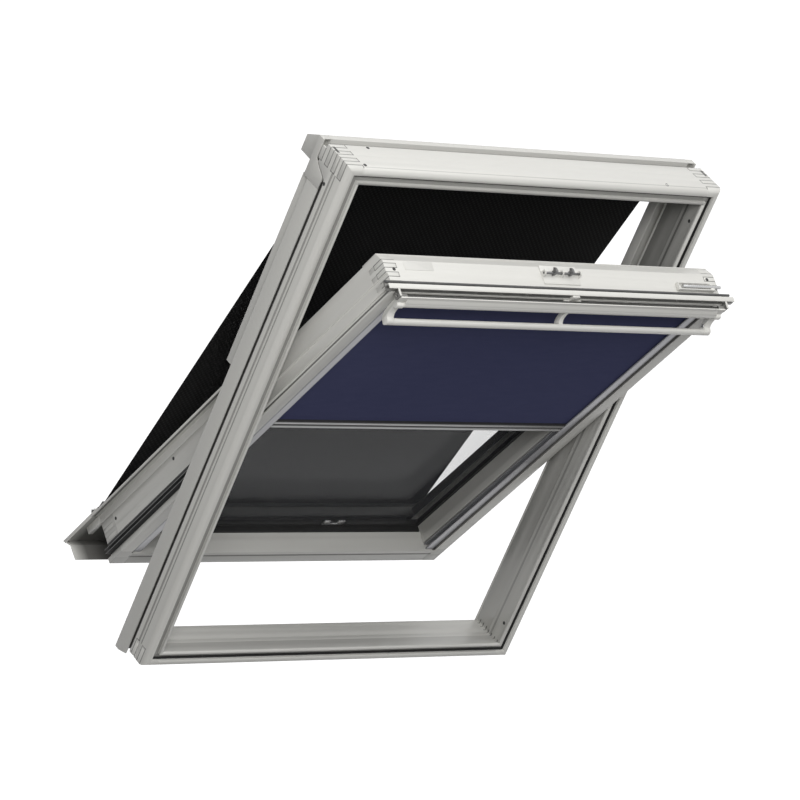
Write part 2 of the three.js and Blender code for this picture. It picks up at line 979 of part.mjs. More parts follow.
const flangeHalfWidth = sashHalfWidth + flangeReach;
const flangeBottom = sashHalfHeight + flangeReach;
const glassTop = sashHalfHeight - rebateWall;
const glassSide = stileInner + rebateWidth;
const glassBottom = sashHalfHeight - rebateWall + glassMargin;

const stilePrism = alongZ(
  [
    [flangeHalfWidth, 0],
    [flangeHalfWidth, flangeDepth],
    [sashHalfWidth, flangeDepth],
    [sashHalfWidth, sideGrooveStart],
    [sashHalfWidth - sideGrooveDepth, sideGrooveStart],
    [sashHalfWidth - sideGrooveDepth, sideGrooveEnd],
    [sashHalfWidth, sideGrooveEnd],
    [sashHalfWidth, sashDepth],
    [stileInner + beadStep, sashDepth],
    [stileInner + beadStep, beadStart],
    [stileInner, beadStart],
    [stileInner, 0],
  ],
  -flangeBottom,
  sashHalfHeight,
);
// The outdoor edge of the top slopes off
const topSlope = alongX(
  [
    [headSlopeStart, sashHalfHeight],
    [sashDepth, sashHalfHeight - headSlopeFall],
    [sashDepth + overrun, sashHalfHeight - headSlopeFall],
    [sashDepth + overrun, sashHalfHeight + overrun],
    [headSlopeStart, sashHalfHeight + overrun],
  ],
  -sashHalfWidth - overrun,
  sashHalfWidth + overrun,
);
const stileWhole = cut(
  stilePrism,
  box(
    stileInner - overrun,
    glassSide,
    rebateDepth,
    sashDepth + overrun,
    -glassBottom,
    glassTop,
  ),
  box(
    stileInner - overrun,
    stileInner + channelPocket,
    -overrun,
    channelPocketDepth,
    -sillInner,
    sashHalfHeight - headPlate,
  ),
  box(
    stileInner - overrun,
    stileInner + channelPocket,
    -overrun,
    headPocketDepth,
    channelTop + turnedGap,
    sashHalfHeight - headPlate,
  ),
  box(
    stileInner - overrun,
    flangeHalfWidth + overrun,
    flangeDepth,
    sashDepth + overrun,
    -flangeBottom - overrun,
    -sashHalfHeight,
  ),
  box(
    sashHalfWidth - sideGrooveDepth,
    flangeHalfWidth + overrun,
    flangeThin,
    upperGrooveEnd,
    pivotInSash,
    sashHalfHeight + overrun,
  ),
  topSlope,
);

// Finger joints of the sash: head and sill own every second layer of the corner
const fingerStart = sashHalfWidth - sashFingerLength;
const topFingersLow = headInner;
const lowFingersHigh = -sillInner;
function sashLayers(grow, root, low, high) {
  const layers = [];
  for (let i = 0; i < sashFingers; i += 2) {
    const start = sashFingerStart + i * sashFingerDepth;
    layers.push(
      box(
        fingerStart - root,
        flangeHalfWidth + overrun,
        start + turnedGap / 2 - grow,
        start + sashFingerDepth - turnedGap / 2 + grow,
        low - grow,
        high + grow,
      ),
    );
  }
  return joined(...layers);
}
const topFingers = common(stileWhole, sashLayers(0, overrun / 2, topFingersLow, sashHalfHeight));
const lowFingers = common(stileWhole, sashLayers(0, overrun / 2, -sashHalfHeight, lowFingersHigh));
const fingerRoot = box(
  stileInner - overrun,
  fingerStart + turnedGap,
  -overrun,
  sashDepth + overrun,
  topFingersLow - turnedGap,
  sashHalfHeight + overrun,
);
const lowFingerRoot = box(
  stileInner - overrun,
  fingerStart + turnedGap,
  -overrun,
  sashDepth + overrun,
  -flangeBottom - overrun,
  lowFingersHigh + turnedGap,
);
const stile = cut(
  stileWhole,
  fingerRoot,
  lowFingerRoot,
  sashLayers(turnedGap, turnedGap, topFingersLow, sashHalfHeight),
  sashLayers(turnedGap, turnedGap, -sashHalfHeight, lowFingersHigh),
);
addPair(sash, "sash_stile", stile, painted);

const crossHalf = stileInner - turnedGap;
const headBar = cut(
  alongX(
    [
      [0, sashHalfHeight],
      [0, sashHalfHeight - headPlate],
      [headPocketDepth, sashHalfHeight - headPlate],
      [headPocketDepth, headInner],
      [rebateDepth, headInner],
      [rebateDepth, glassTop],
      [sashDepth, glassTop],
      [sashDepth, sashHalfHeight],
    ],
    -fingerStart,
    fingerStart,
  ),
  topSlope,
);
add(
  sash,
  "sash_head",
  joined(headBar, topFingers, mirrored(topFingers)),
  painted,
);
const sillLine = sashHalfHeight - sillLineDrop;
const sillBar = alongX(
  [
    [0, -flangeBottom],
    [flangeDepth, -flangeBottom],
    [flangeDepth, -sashHalfHeight],
    [sashDepth, -sashHalfHeight],
    [sashDepth, -glassBottom],
    [rebateDepth, -glassBottom],
    [rebateDepth, -sillInner],
    [0, -sillInner],
    [0, -sillLine + sillLineSize],
    [sillLineSize, -sillLine],
    [0, -sillLine - sillLineSize],
  ],
  -fingerStart,
  fingerStart,
);
add(sash, "sash_sill", joined(sillBar, lowFingers, mirrored(lowFingers)), painted);
add(
  sash,
  "sash_sill_seal",
  alongX(
    [
      [sillSealStart, turnedGap - sillInner],
      [rebateDepth, turnedGap - sillInner],
      [rebateDepth, turnedGap - sillInner + sillSealHeight],
      [sillSealStart + sillSealHeight, turnedGap - sillInner + sillSealHeight],
    ],
    -crossHalf,
    crossHalf,
  ),
  rubber,
);

// Double glazing in its gasket
const paneHalf = glassSide - glassMargin;
const paneLow = -glassBottom + glassMargin;
const paneHigh = glassTop - glassMargin;
const gasketStartDepth = rebateDepth + turnedGap;
const innerPane = gasketStartDepth + gasketThickness + turnedGap;
const spacerStart = innerPane + paneThickness + turnedGap;
const outerPane = spacerStart + spacerThickness + turnedGap;
add(
  sash,
  "glazing_gasket",
  alongY(
    ringOutline(paneHalf, paneLow, paneHigh),
    gasketStartDepth,
    gasketStartDepth + gasketThickness,
    [ringOutline(stileInner - gasketShow, gasketShow - sillInner, headInner - gasketShow)],
  ),
  rubber,
);
add(
  sash,
  "inner_pane",
  alongY(ringOutline(paneHalf, paneLow, paneHigh), innerPane, innerPane + paneThickness),
  glass,
);
add(
  sash,
  "pane_spacer",
  alongY(
    ringOutline(paneHalf, paneLow, paneHigh),
    spacerStart,
    spacerStart + spacerThickness,
    [ringOutline(paneHalf - spacerWidth, paneLow + spacerWidth, paneHigh - spacerWidth)],
  ),
  grey,
);
add(
  sash,
  "outer_pane",
  alongY(ringOutline(paneHalf, paneLow, paneHigh), outerPane, outerPane + paneThickness),
  glass,
);

// Lower side covers of the sash, bent from sheet
const coverInner = stileInner + coverGlassHold;
const coverLip = coverPlateStart - coverLipDepth;
const coverTopEnd = pivotInSash - coverBelowPivot;
const coverFoot = sashDepth + turnedGap;
const outerFace = outerPane + paneThickness + turnedGap;
addPair(
  sash,
  "sash_cover",
  alongZ(
    [
      [coverInner, outerFace],
      [coverInner, coverPlateStart + sheet],
      [coverReach, coverPlateStart + sheet],
      [coverReach, coverLip],
      [coverReach - sheet, coverLip],
      [coverReach - sheet, coverPlateStart],
      [sashHalfWidth, coverPlateStart],
      [sashHalfWidth, coverFoot],
      [sashHalfWidth - sheet, coverFoot],
      [sashHalfWidth - sheet, coverPlateStart],
      [coverInner + sheet, coverPlateStart],
      [coverInner + sheet, outerFace],
    ],
    -sashHalfHeight,
    coverTopEnd,
  ),
  cover,
);
const bottomPlate = alongX(
  [
    [bottomPlateStart, -bottomCoverTop],
    [bottomPlateStart + sheet, -bottomCoverTop],
    [bottomPlateStart + sheet, -bottomCoverEnd],
    [bottomFoldDepth, -bottomFoldHeight],
    [bottomBackDepth, -bottomBackHeight],
    [bottomBackDepth, sheet - bottomBackHeight],
    [bottomFoldDepth, sheet - bottomFoldHeight],
    [bottomPlateStart, sheet * 2 - bottomCoverEnd],
  ],
  -coverReach,
  coverReach,
);
const bottomLegHalf = coverInner - turnedGap;
const bottomLip = box(
  coverReach - sheet,
  coverReach,
  coverLip,
  bottomPlateStart + sheet,
  -bottomCoverEnd + sheet * 2,
  -sashHalfHeight - turnedGap,
);
add(
  sash,
  "bottom_cover",
  joined(
    bottomPlate,
    box(
      -bottomLegHalf,
      bottomLegHalf,
      outerFace,
      bottomPlateStart + sheet,
      -bottomCoverTop - sheet,
      -bottomCoverTop,
    ),
    box(
      -bottomLegHalf,
      bottomLegHalf,
      coverFoot,
      bottomPlateStart + sheet,
      -sashHalfHeight,
      sheet - sashHalfHeight,
    ),
    bottomLip,
    mirrored(bottomLip),
  ),
  cover,
);
// Blocks under the ends of the bottom cover, clear of the frame when the window is shut
addPair(
  sash,
  "sash_foot",
  box(
    sashHalfWidth - footWidth,
    sashHalfWidth,
    frameDepth + footClear - closedDepth,
    bottomPlateStart - turnedGap,
    -sashHalfHeight - footReach,
    -sashHalfHeight - turnedGap,
  ),
  cover,
);
add(
  sash,
  "sash_top_cover",
  alongX(
    [
      [outerFace, headInner - coverTopShow],
      [outerFace + sheet, headInner - coverTopShow],
      [outerFace + sheet, sashHalfHeight - headSlopeFall],
      [outerFace, sashHalfHeight - headSlopeFall],
    ],
    -sashHalfWidth,
    sashHalfWidth,
  ),
  cover,
);

// Side gaskets below the pivot, each a base with two fins
const gasketSideBase = sashHalfWidth - sideGrooveDepth + turnedGap;
const gasketSideTop = gasketSideBase + gasketBase;
const gasketSideEnd = sashHalfWidth + gasketReach;
function finPoints(at) {
  return [
    [gasketSideTop, at - gasketFin / 2],
    [gasketSideEnd, at - gasketFin / 4],
    [gasketSideEnd, at + gasketFin / 4],
    [gasketSideTop, at + gasketFin / 2],
  ];
}
addPair(
  sash,
  "side_gasket",
  alongZ(
    [
      [gasketSideBase, sideGrooveStart + turnedGap],
      [gasketSideTop, sideGrooveStart + turnedGap],
      ...finPoints(gasketFirstFin),
      ...finPoints(gasketSecondFin),
      [gasketSideTop, sideGrooveEnd - turnedGap],
      [gasketSideBase, sideGrooveEnd - turnedGap],
    ],
    -sashHalfHeight,
    pivotInSash - gasketBelowPivot,
  ),
  rubber,
);

// Lip along the top of the sash, with its vents and with ears for the pins of the flap
const lipBase = sashHalfHeight + turnedGap;
const earStart = bracketReach + earGap;
const earOutline = [
  [-earFront, flapAxisHeight - earFall],
  [-turnedGap, flapAxisHeight - earFall],
  [-turnedGap, lipBottom],
  [lipFront / 2, lipBottom],
  [lipFront / 2, lipTop - lipSheet / 2],
  [-earFront, lipBottom],
];
const earHole = rod(earBore, earStart - overrun, earStart + earWidth + overrun, -flapAxisDepth, flapAxisHeight);
const ear = alongX(earOutline, earStart, earStart + earWidth);
const lipProfile = alongX(
  [
    [0, lipBottom],
    [0, lipTop - lipSheet / 2],
    [lipSheet, lipTop],
    [lipFront, lipTop],
    [lipFront, lipBase + lipFootHeight],
    [lipFoot, lipBase + lipFootHeight],
    [lipFoot, lipBase],
    [ventStart, lipBase],
    [ventStart, lipBase + ventHeight],
    [ventEnd, lipBase + ventHeight],
    [ventEnd, lipBase + lipBasePlate],
    [lipFront - lipWeb, lipBase + lipBasePlate],
    [lipFront - lipWeb, lipBottom],
  ],
  -lipHalfWidth,
  lipHalfWidth,
);
const catchRoom = box(
  catchAt - catchBlockHalf - turnedGap * 2,
  catchAt + catchBlockHalf + turnedGap * 2,
  -overrun,
  lipFront - lipWeb,
  lipBase - overrun,
  lipBottom - turnedGap / 2,
);
// Slots of the vents, as many as the width holds
const ventCount = Math.max(1, Math.floor((sashHalfWidth * 2) / ventSlotPitch));
const ventPitch = (sashHalfWidth * 2) / ventCount;
const ventSlots = Array.from({ length: ventCount }, (_, i) =>
  box(
    ventPitch * i - sashHalfWidth + ventBar / 2,
    ventPitch * (i + 1) - sashHalfWidth - ventBar / 2,
    -overrun,
    ventEnd + overrun / 2,
    lipBase + ventSlotLow,
    lipBase + ventSlotHigh,
  ),
);
add(
  sash,
  "head_lip",
  cut(
    joined(lipProfile, ear, mirrored(ear)),
    earHole,
    mirrored(earHole),
    catchRoom,
    ...ventSlots,
  ),
  aluminium,
);
const headGasketBase = lipBase + lipFootHeight + turnedGap;
add(
  sash,
  "head_gasket",
  alongX(
    [
      [lipFoot - headGasketWidth, headGasketBase],
      [lipFoot, headGasketBase],
      ...arc(
        lipFoot - headGasketWidth / 2,
        headGasketBase,
        headGasketWidth / 2,
        headGasketHeight,
        0,
        0.5,
        arcSteps + 1,
      ).slice(1, -1),
    ],
    -lipHalfWidth,
    lipHalfWidth,
  ),
  rubber,
);

// Sash halves of the pivot hinges
const sashPivotY = -sashShiftY;
const sashPivotZ = -sashShiftZ;
const hingeSash = cut(
  alongX(
    [
      [hingeSashStart, sashPivotZ - hingeHalfLength],
      [sashDepth, sashPivotZ - hingeHalfLength],
      [sashDepth, sashPivotZ - hingeArmHalf],
      [sashPivotY, sashPivotZ - hingeArmHalf],
      ...arc(sashPivotY, sashPivotZ, hingeRound, hingeRound, -0.25, 0.25, arcSteps * 2),
      [sashDepth, sashPivotZ + hingeArmHalf],
      [sashDepth, sashPivotZ + hingeHalfLength],
      [hingeSashStart, sashPivotZ + hingeHalfLength],
    ],
    hingeSashInner,
    hingeSashOuter,
  ),
  rod(hingeBore, hingeSashInner - overrun, hingeSashOuter + overrun, sashPivotY, sashPivotZ),
);
addPair(sash, "hinge_sash", hingeSash, steel);

// Blackout blind: side channels, casing, roller, fabric and bottom bar
addPair(
  sash,
  "blind_channel",
  alongZ(
    [
      [channelHalf, channelFront],
      [channelHalf, channelBack],
      [channelHalf - channelWidth, channelBack],
      [channelHalf - channelWidth, channelBack - channelWall],
      [channelHalf - channelWall, channelBack - channelWall],
      [channelHalf - channelWall, channelFront + channelWall],
      [channelHalf - channelWidth, channelFront + channelWall],
      [channelHalf - channelWidth, channelFront],
    ],
    -channelBottom,
    channelTop,
  ),
  aluminium,
);
add(
  sash,
  "blind_casing",
  alongX(
    [
      [slotStart, casingBoxBottom],
      [casingBoxFront, casingBoxBottom],
      [casingBoxFront, casingBoxTop],
      [casingBoxBack, casingBoxTop],
      [casingBoxBack, casingBoxBottom],
      [slotEnd, casingBoxBottom],
      [slotEnd, casingBoxBottom + casingBoxWall],
      [casingBoxBack - casingBoxWall, casingBoxBottom + casingBoxWall],
      [casingBoxBack - casingBoxWall, casingBoxTop - casingBoxWall],
      [casingBoxFront + casingBoxWall, casingBoxTop - casingBoxWall],
      [casingBoxFront + casingBoxWall, casingBoxBottom + casingBoxWall],
      [slotStart, casingBoxBottom + casingBoxWall],
    ],
    -casingBoxHalf,
    casingBoxHalf,
  ),
  aluminium,
);
const blindRollerY = blindFront + blindThickness + blindRollerGap + blindRollerRadius;
const blindRollerEnd = casingBoxHalf - blindPinLength;
add(
  sash,
  "blind_roller",
  turned(
    [
      [0, -casingBoxHalf],
      [blindPinRadius, -casingBoxHalf],
      [blindPinRadius, -blindRollerEnd],
      [blindRollerRadius, -blindRollerEnd],
      [blindRollerRadius, blindRollerEnd],
      [blindPinRadius, blindRollerEnd],
      [blindPinRadius, casingBoxHalf],
      [0, casingBoxHalf],
    ],
    blindRollerY,
    blindRollerHeight,
  ),
  navy,
);
add(
  sash,
  "blackout_fabric",
  box(
    -blindHalf,
    blindHalf,
    blindFront,
    blindFront + blindThickness,
    bottomBarHigh + turnedGap,
    blindRollerHeight,
  ),
  navy,
);
const tongue = box(
  bottomBarHalf - overrun,
  tongueReach,
  tongueFront,
  tongueBack,
  bottomBarLow + tongueInset,
  bottomBarHigh - tongueInset,
);
const barGroove = box(
  -bottomBarHalf - overrun,
  bottomBarHalf + overrun,
  bottomBarFront - overrun,
  bottomBarFront + tongueInset / 2,
  (bottomBarLow + bottomBarHigh) / 2,
  (bottomBarLow + bottomBarHigh) / 2 + tongueInset,
);
add(
  sash,
  "blind_bar",
  cut(
    joined(
      box(
        -bottomBarHalf,
        bottomBarHalf,
        bottomBarFront,
        bottomBarBack,
        bottomBarLow,
        bottomBarHigh,
      ),
      tongue,
      mirrored(tongue),
    ),
    barGroove,
  ),
  aluminium,
);

// Curve between two points that leans on a third
function curvePoints(from, through, to) {
  const curve = new THREE.QuadraticBezierCurve(
    new THREE.Vector2(...from),
    new THREE.Vector2(...through),
    new THREE.Vector2(...to),
  );
  return curve.getPoints(arcSteps).map((point) => [point.x, point.y]);
}

// Ventilation flap between its two end brackets, with the grip bar below it
const flapBend = flapTop - flapBendFall;
const flapNoseHeight = flapTop - flapNoseFall;
const flapOutline = [
  [-flapBack, flapTop],
  [-flapFrontTop, flapTop],
  ...curvePoints([-flapFrontLow, flapBend], [-flapNose, flapBend], [-flapNose, flapNoseHeight]),
  ...curvePoints([-flapNose, flapNoseHeight - sheet], [-flapNose, flapBottom], [-flapFrontLow, flapBottom]),
  [-flapBack, flapBottom],
];
add(sash, "vent_bar", alongX(flapOutline, -flapHalf, flapHalf), painted);

const gripOutline = arc(-gripDepth, gripHeight, gripHalfDepth, gripHalfHeight, 0, 1, roundSides).slice(0, -1);
add(sash, "grip_bar", alongX(gripOutline, -flapHalf, flapHalf), painted);

// Curved arms from the flap down to the grip bar; the end ones carry the pins
const bracketStart = bracketReach - bracketWidth;
const armOuter = curvePoints(
  [-flapFrontLow, flapBottom],
  [-flapFrontLow, gripHeight + gripHalfHeight],
  [-gripDepth, gripHeight + gripHalfHeight],
);
const armInner = curvePoints(
  [-gripDepth, gripHeight - gripHalfHeight],
  [-flapBack, gripHeight - gripHalfHeight],
  [-flapBack, flapBottom - turnedGap],
);
const flapPin = rod(
  flapPinRadius,
  bracketReach - overrun / 2,
  bracketReach + flapPinLength,
  -flapAxisDepth,
  flapAxisHeight,
);
addPair(
  sash,
  "grip_bracket",
  joined(
    alongX(flapOutline, bracketStart, bracketReach),
    alongX([...armOuter, ...armInner, [-flapBack, flapBottom]], bracketStart, bracketReach),
    alongX(gripOutline, bracketStart, bracketReach),
    flapPin,
  ),
  painted,
);
const gripRoom = arc(
  -gripDepth,
  gripHeight,
  gripHalfDepth + turnedGap,
  gripHalfHeight + turnedGap,
  0,
  1,
  roundSides,
).slice(0, -1);
const flapRoom = box(
  strutAt - strutWidth,
  strutAt + strutWidth,
  -gripDepth,
  0,
  flapBottom - turnedGap,
  flapTop,
);
add(
  sash,
  "grip_strut",
  cut(
    alongX([...armOuter, ...armInner], strutAt - strutWidth / 2, strutAt + strutWidth / 2),
    alongX(gripRoom, strutAt - strutWidth, strutAt + strutWidth),
    flapRoom,
  ),
  painted,
);

// Catch under the lip, with its round knob
const catchBottom = sashHalfHeight - catchDrop;
const knobHeight = sashHalfHeight + knobRise;
const knob = new THREE.CylinderGeometry(knobRadius, knobRadius, knobFront + catchEnd, roundSides);
knob.translate(catchAt, (catchEnd - knobFront) / 2, knobHeight);
add(
  sash,
  "flap_catch",
  joined(
    box(
      catchAt - catchHalf,
      catchAt + catchHalf,
      -catchFront,
      -turnedGap,
      catchBottom,
      catchBottom + catchFoot,
    ),
    box(
      catchAt - catchBlockHalf,
      catchAt + catchBlockHalf,
      -catchFront,
      -turnedGap,
      catchBottom,
      lipBottom - turnedGap,
    ),
    box(
      catchAt - catchBlockHalf,
      catchAt + catchBlockHalf,
      -catchFront,
      catchEnd,
      lipBase,
      lipBottom - turnedGap,
    ),
    knob,
  ),
  steel,
);

// Lock on top of the sash: a case with three walls that carry the shaft of the claws
const lockBase = sashHalfHeight + turnedGap;
const lockFloor = lockBase + lockPlate;
const latchHeight = lockBase + latchRise;
const lockWallOutline = [
  [latchDepth + lockWallRadius, lockBase],
  ...arc(latchDepth, latchHeight, lockWallRadius, lockWallRadius, 0, 0.5, arcSteps * 2),
  [latchDepth - lockWallRadius, lockBase],
];
function lockWallAt(x) {
  return alongX(lockWallOutline, x - lockWall / 2, x + lockWall / 2);
}
const lockWallPlace = lockHalf - lockWall / 2;
add(
  sash,
  "lock_case",
  cut(
    joined(
      box(lockAt - lockHalf, lockAt + lockHalf, lockFront, lockBack, lockBase, lockFloor),
      lockWallAt(lockAt - lockWallPlace),
      lockWallAt(lockAt),
      lockWallAt(lockAt + lockWallPlace),
    ),
    rod(latchBore, lockAt - lockHalf - overrun, lockAt + lockHalf + overrun, latchDepth, latchHeight),
  ),
  steel,
);

const clawOutline = [
  ...arc(latchDepth, latchHeight, latchHub, latchHub, -0.5 + latchTurn, 0.1, arcSteps * 2),
  ...arc(latchDepth, latchHeight, latchClaw, latchClaw, 0.1, 0.3, arcSteps),
  [latchDepth - latchHook, latchHeight + latchClaw - latchHookSheet - latchTurn],
  ...arc(
    latchDepth,
    latchHeight,
    latchClaw - latchHookSheet,
    latchClaw - latchHookSheet,
    0.3,
    0.2,
    arcSteps,
  ),
  ...arc(latchDepth, latchHeight, latchHub, latchHub, 0.22, 0.5 - latchTurn, arcSteps),
];
function clawAt(x) {
  return alongX(clawOutline, x - latchClawWidth / 2, x + latchClawWidth / 2);
}
add(
  sash,
  "lock_latch",
  joined(
    rod(latchRadius, lockAt - lockHalf, lockAt + lockHalf, latchDepth, latchHeight),
    clawAt(lockAt - latchClawAt),
    clawAt(lockAt + latchClawAt),
  ),
  steel,
);

// Barrel bolt for the cleaning position, on top of the sash at the right
const boltStart = sashHalfWidth - boltStartIn;
const boltEnd = sashHalfWidth - boltEndIn;
const boltBase = sashHalfHeight + turnedGap;
const boltAxis = boltBase + boltWall + turnedGap + boltRadius;
const boltTrough = alongX(
  [
    [boltDepth - boltHalf, boltBase],
    [boltDepth + boltHalf, boltBase],
    [boltDepth + boltHalf, boltBase + boltHeight],
    [boltDepth + boltHalf - boltWall, boltBase + boltHeight],
    [boltDepth + boltHalf - boltWall, boltBase + boltWall],
    [boltDepth - boltHalf + boltWall, boltBase + boltWall],
    [boltDepth - boltHalf + boltWall, boltBase + boltHeight],
    [boltDepth - boltHalf, boltBase + boltHeight],
  ],
  boltStart,
  boltEnd,
);
const boltGuide = box(
  boltEnd - boltPost,
  boltEnd,
  boltDepth - boltHalf,
  boltDepth + boltHalf,
  boltBase,
  boltBase + boltHeight,
);
const boltBack = box(
  boltStart,
  boltStart + boltWall,
  boltDepth - boltHalf,
  boltDepth + boltHalf,
  boltBase,
  boltBase + boltHeight,
);
add(
  sash,
  "bolt_housing",
  cut(
    joined(boltTrough, boltGuide, boltBack),
    rod(boltBore, boltEnd - boltPost - overrun, boltEnd + overrun, boltDepth, boltAxis),
  ),
  steel,
);
add(
  sash,
  "barrel_bolt",
  rod(boltRadius, sashHalfWidth - boltTailIn, sashHalfWidth - boltTipIn, boltDepth, boltAxis),
  steel,
);

// Small clip at the foot of the glass
const clipLow = gasketShow + turnedGap - sillInner;
add(
  sash,
  "glass_clip",
  alongY(
    [
      [clipStart, clipLow],
      [clipEnd, clipLow],
      [clipEnd, clipLow + clipHeight],
      [clipStart + clipNotchEnd, clipLow + clipHeight],
      [clipStart + clipNotchEnd, clipLow + clipFoot],
      [clipStart + clipNotchStart, clipLow + clipFoot],
      [clipStart + clipNotchStart, clipLow + clipHeight],
      [clipStart, clipLow + clipHeight],
    ],
    innerPane - turnedGap - clipThickness,
    innerPane - turnedGap,
  ),
  steel,
);

// Hooks that hold the awning's bottom bar on the sash
const hookOutline = [
  ...arc(hookDepth, -hookHeight, hookOuter, hookOuter, 0.25, 1, arcSteps * 3),
  ...arc(hookDepth, -hookHeight, hookInner, hookInner, 1, 0.25, arcSteps * 3),
];
const hookFoot = bottomPlateStart + sheet + turnedGap;
addPair(
  sash,
  "awning_hook",
  joined(
    alongX(hookOutline, hookStart, hookStart + hookWidth),
    box(
      hookStart,
      hookStart + hookWidth,
      hookFoot,
      hookFoot + hookPlate,
      -hookHeight - hookBaseBottom,
      hookBaseTop - hookHeight,
    ),
  ),
  steel,
);

// Awning bottom bar and fabric, turning about the hooks
const awning = new THREE.Group();
awning.position.set(0, hookDepth, -hookHeight);
awning.rotation.x = -fabricLean - rest;
sash.add(awning);
const awningPin = rod(
  awningPinRadius,
  awningHalfWidth - overrun,
  awningHalfWidth + barPinLength,
  0,
  0,
);
add(
  awning,
  "awning_bar",
  joined(
    alongX(
      [
        ...arc(0, 0, barHalfThickness, barHalfThickness, 0.5, 1, arcSteps * 2),
        [barHalfThickness, barTop],
        [-barHalfThickness, barTop],
      ],
      -awningHalfWidth,
      awningHalfWidth,
    ),
    awningPin,
    mirrored(awningPin),
  ),
  black,
);
add(
  awning,
  "awning_fabric",
  box(
    -awningHalfWidth,
    awningHalfWidth,
    -awningThickness / 2,
    awningThickness / 2,
    barTop + turnedGap,
    closedReach + awningMargin,
  ),
  mesh,
);

export default root;
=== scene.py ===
# Centre-pivot roof window, part open, with an awning blind outdoors and a blackout blind indoors
import bpy
import bmesh
import json
import math
from mathutils import Matrix, Vector

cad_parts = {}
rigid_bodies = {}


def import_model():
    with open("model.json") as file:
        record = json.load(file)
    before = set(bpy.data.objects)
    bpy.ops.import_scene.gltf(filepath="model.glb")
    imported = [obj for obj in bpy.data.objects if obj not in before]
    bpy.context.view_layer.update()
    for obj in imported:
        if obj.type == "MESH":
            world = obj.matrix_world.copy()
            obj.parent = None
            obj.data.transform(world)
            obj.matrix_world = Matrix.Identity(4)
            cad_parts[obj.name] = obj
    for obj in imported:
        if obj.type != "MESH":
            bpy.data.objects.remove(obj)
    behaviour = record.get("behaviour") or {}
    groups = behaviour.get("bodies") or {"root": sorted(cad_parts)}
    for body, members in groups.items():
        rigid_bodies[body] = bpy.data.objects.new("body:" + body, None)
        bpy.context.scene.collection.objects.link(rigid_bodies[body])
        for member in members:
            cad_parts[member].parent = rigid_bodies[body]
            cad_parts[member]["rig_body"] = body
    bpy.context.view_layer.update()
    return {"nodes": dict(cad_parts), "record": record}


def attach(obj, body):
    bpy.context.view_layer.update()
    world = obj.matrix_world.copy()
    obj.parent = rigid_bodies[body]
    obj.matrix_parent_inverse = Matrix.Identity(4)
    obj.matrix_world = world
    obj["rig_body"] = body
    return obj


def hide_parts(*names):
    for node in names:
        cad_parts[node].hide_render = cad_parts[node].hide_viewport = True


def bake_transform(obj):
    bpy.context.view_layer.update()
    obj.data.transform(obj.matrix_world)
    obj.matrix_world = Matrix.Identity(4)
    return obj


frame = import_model()
nodes = frame["nodes"]
print("frame loaded:", len(nodes), "nodes")

# The sash's own axes: x across, y out of its room face, z towards its head
sashPlace = {
    "pivotDepth": 0.048,
    "pivotHeight": 0.535,
    "faceBack": 0.084,
    "middleDrop": 0.0535,
    "angle": math.radians(25.44),
}


def sashMatrix():
    p = sashPlace
    turn = Matrix.Translation((0, p["pivotDepth"], p["pivotHeight"])) @ Matrix.Rotation(p["angle"], 4, "X")
    return turn @ Matrix.Translation((0, -p["faceBack"], -p["middleDrop"]))


toSash = sashMatrix()
fromSash = toSash.inverted()

# Camera
cameraSizes = {
    "place": (-4.2984, -4.5442, 3.5787),
    "right": (0.79070, -0.49674, 0.35784),
    "down": (0.01523, -0.56836, -0.82264),
    "forward": (0.61202, 0.65591, -0.44183),
    "lens": 188.2,
    "sensor": 36,
    "near": 0.5,
    "far": 60,
}


def makeCamera():
    c = cameraSizes
    data = bpy.data.cameras.new("camera")
    data.lens = c["lens"]
    data.sensor_width = c["sensor"]
    data.clip_start = c["near"]
    data.clip_end = c["far"]
    camera = bpy.data.objects.new("camera", data)
    bpy.context.scene.collection.objects.link(camera)
    right, down, forward = Vector(c["right"]), Vector(c["down"]), Vector(c["forward"])
    matrix = Matrix((right, -down, -forward)).transposed().to_4x4()
    matrix.translation = Vector(c["place"])
    camera.matrix_world = matrix
    bpy.context.scene.camera = camera


makeCamera()
print("camera placed")


# A shader value with the usual sums, in both orders
class Value:
    def __init__(self, tree, socket):
        self.tree = tree
        self.socket = socket

    def math(self, operation, *inputs, clamp=False):
        node = self.tree.nodes.new("ShaderNodeMath")
        node.operation = operation
        node.use_clamp = clamp
        for place, item in enumerate(inputs):
            if isinstance(item, Value):
                self.tree.links.new(item.socket, node.inputs[place])
            else:
                node.inputs[place].default_value = item
        return Value(self.tree, node.outputs[0])

    def __add__(self, other):
        return self.math("ADD", self, other)

    __radd__ = __add__

    def __sub__(self, other):
        return self.math("SUBTRACT", self, other)

    def __rsub__(self, other):
        return self.math("SUBTRACT", other, self)

    def __mul__(self, other):
        return self.math("MULTIPLY", self, other)

    __rmul__ = __mul__

    def __truediv__(self, other):
        return self.math("DIVIDE", self, other)

    def __rtruediv__(self, other):
        return self.math("DIVIDE", other, self)

    def __mod__(self, other):
        return self.math("MODULO", self, other)

    def __gt__(self, other):
        return self.math("GREATER_THAN", self, other)

    def __lt__(self, other):
        return self.math("LESS_THAN", self, other)

    def __abs__(self):
        return self.math("ABSOLUTE", self)

    def most(self, other):
        return self.math("MAXIMUM", self, other)

    def wave(self, length):
        return self.math("PINGPONG", self, length) / length

    def clipped(self):
        return self.math("ADD", self, 0.0, clamp=True)

    def between(self, low, high):
        return (self > low) * (self < high)


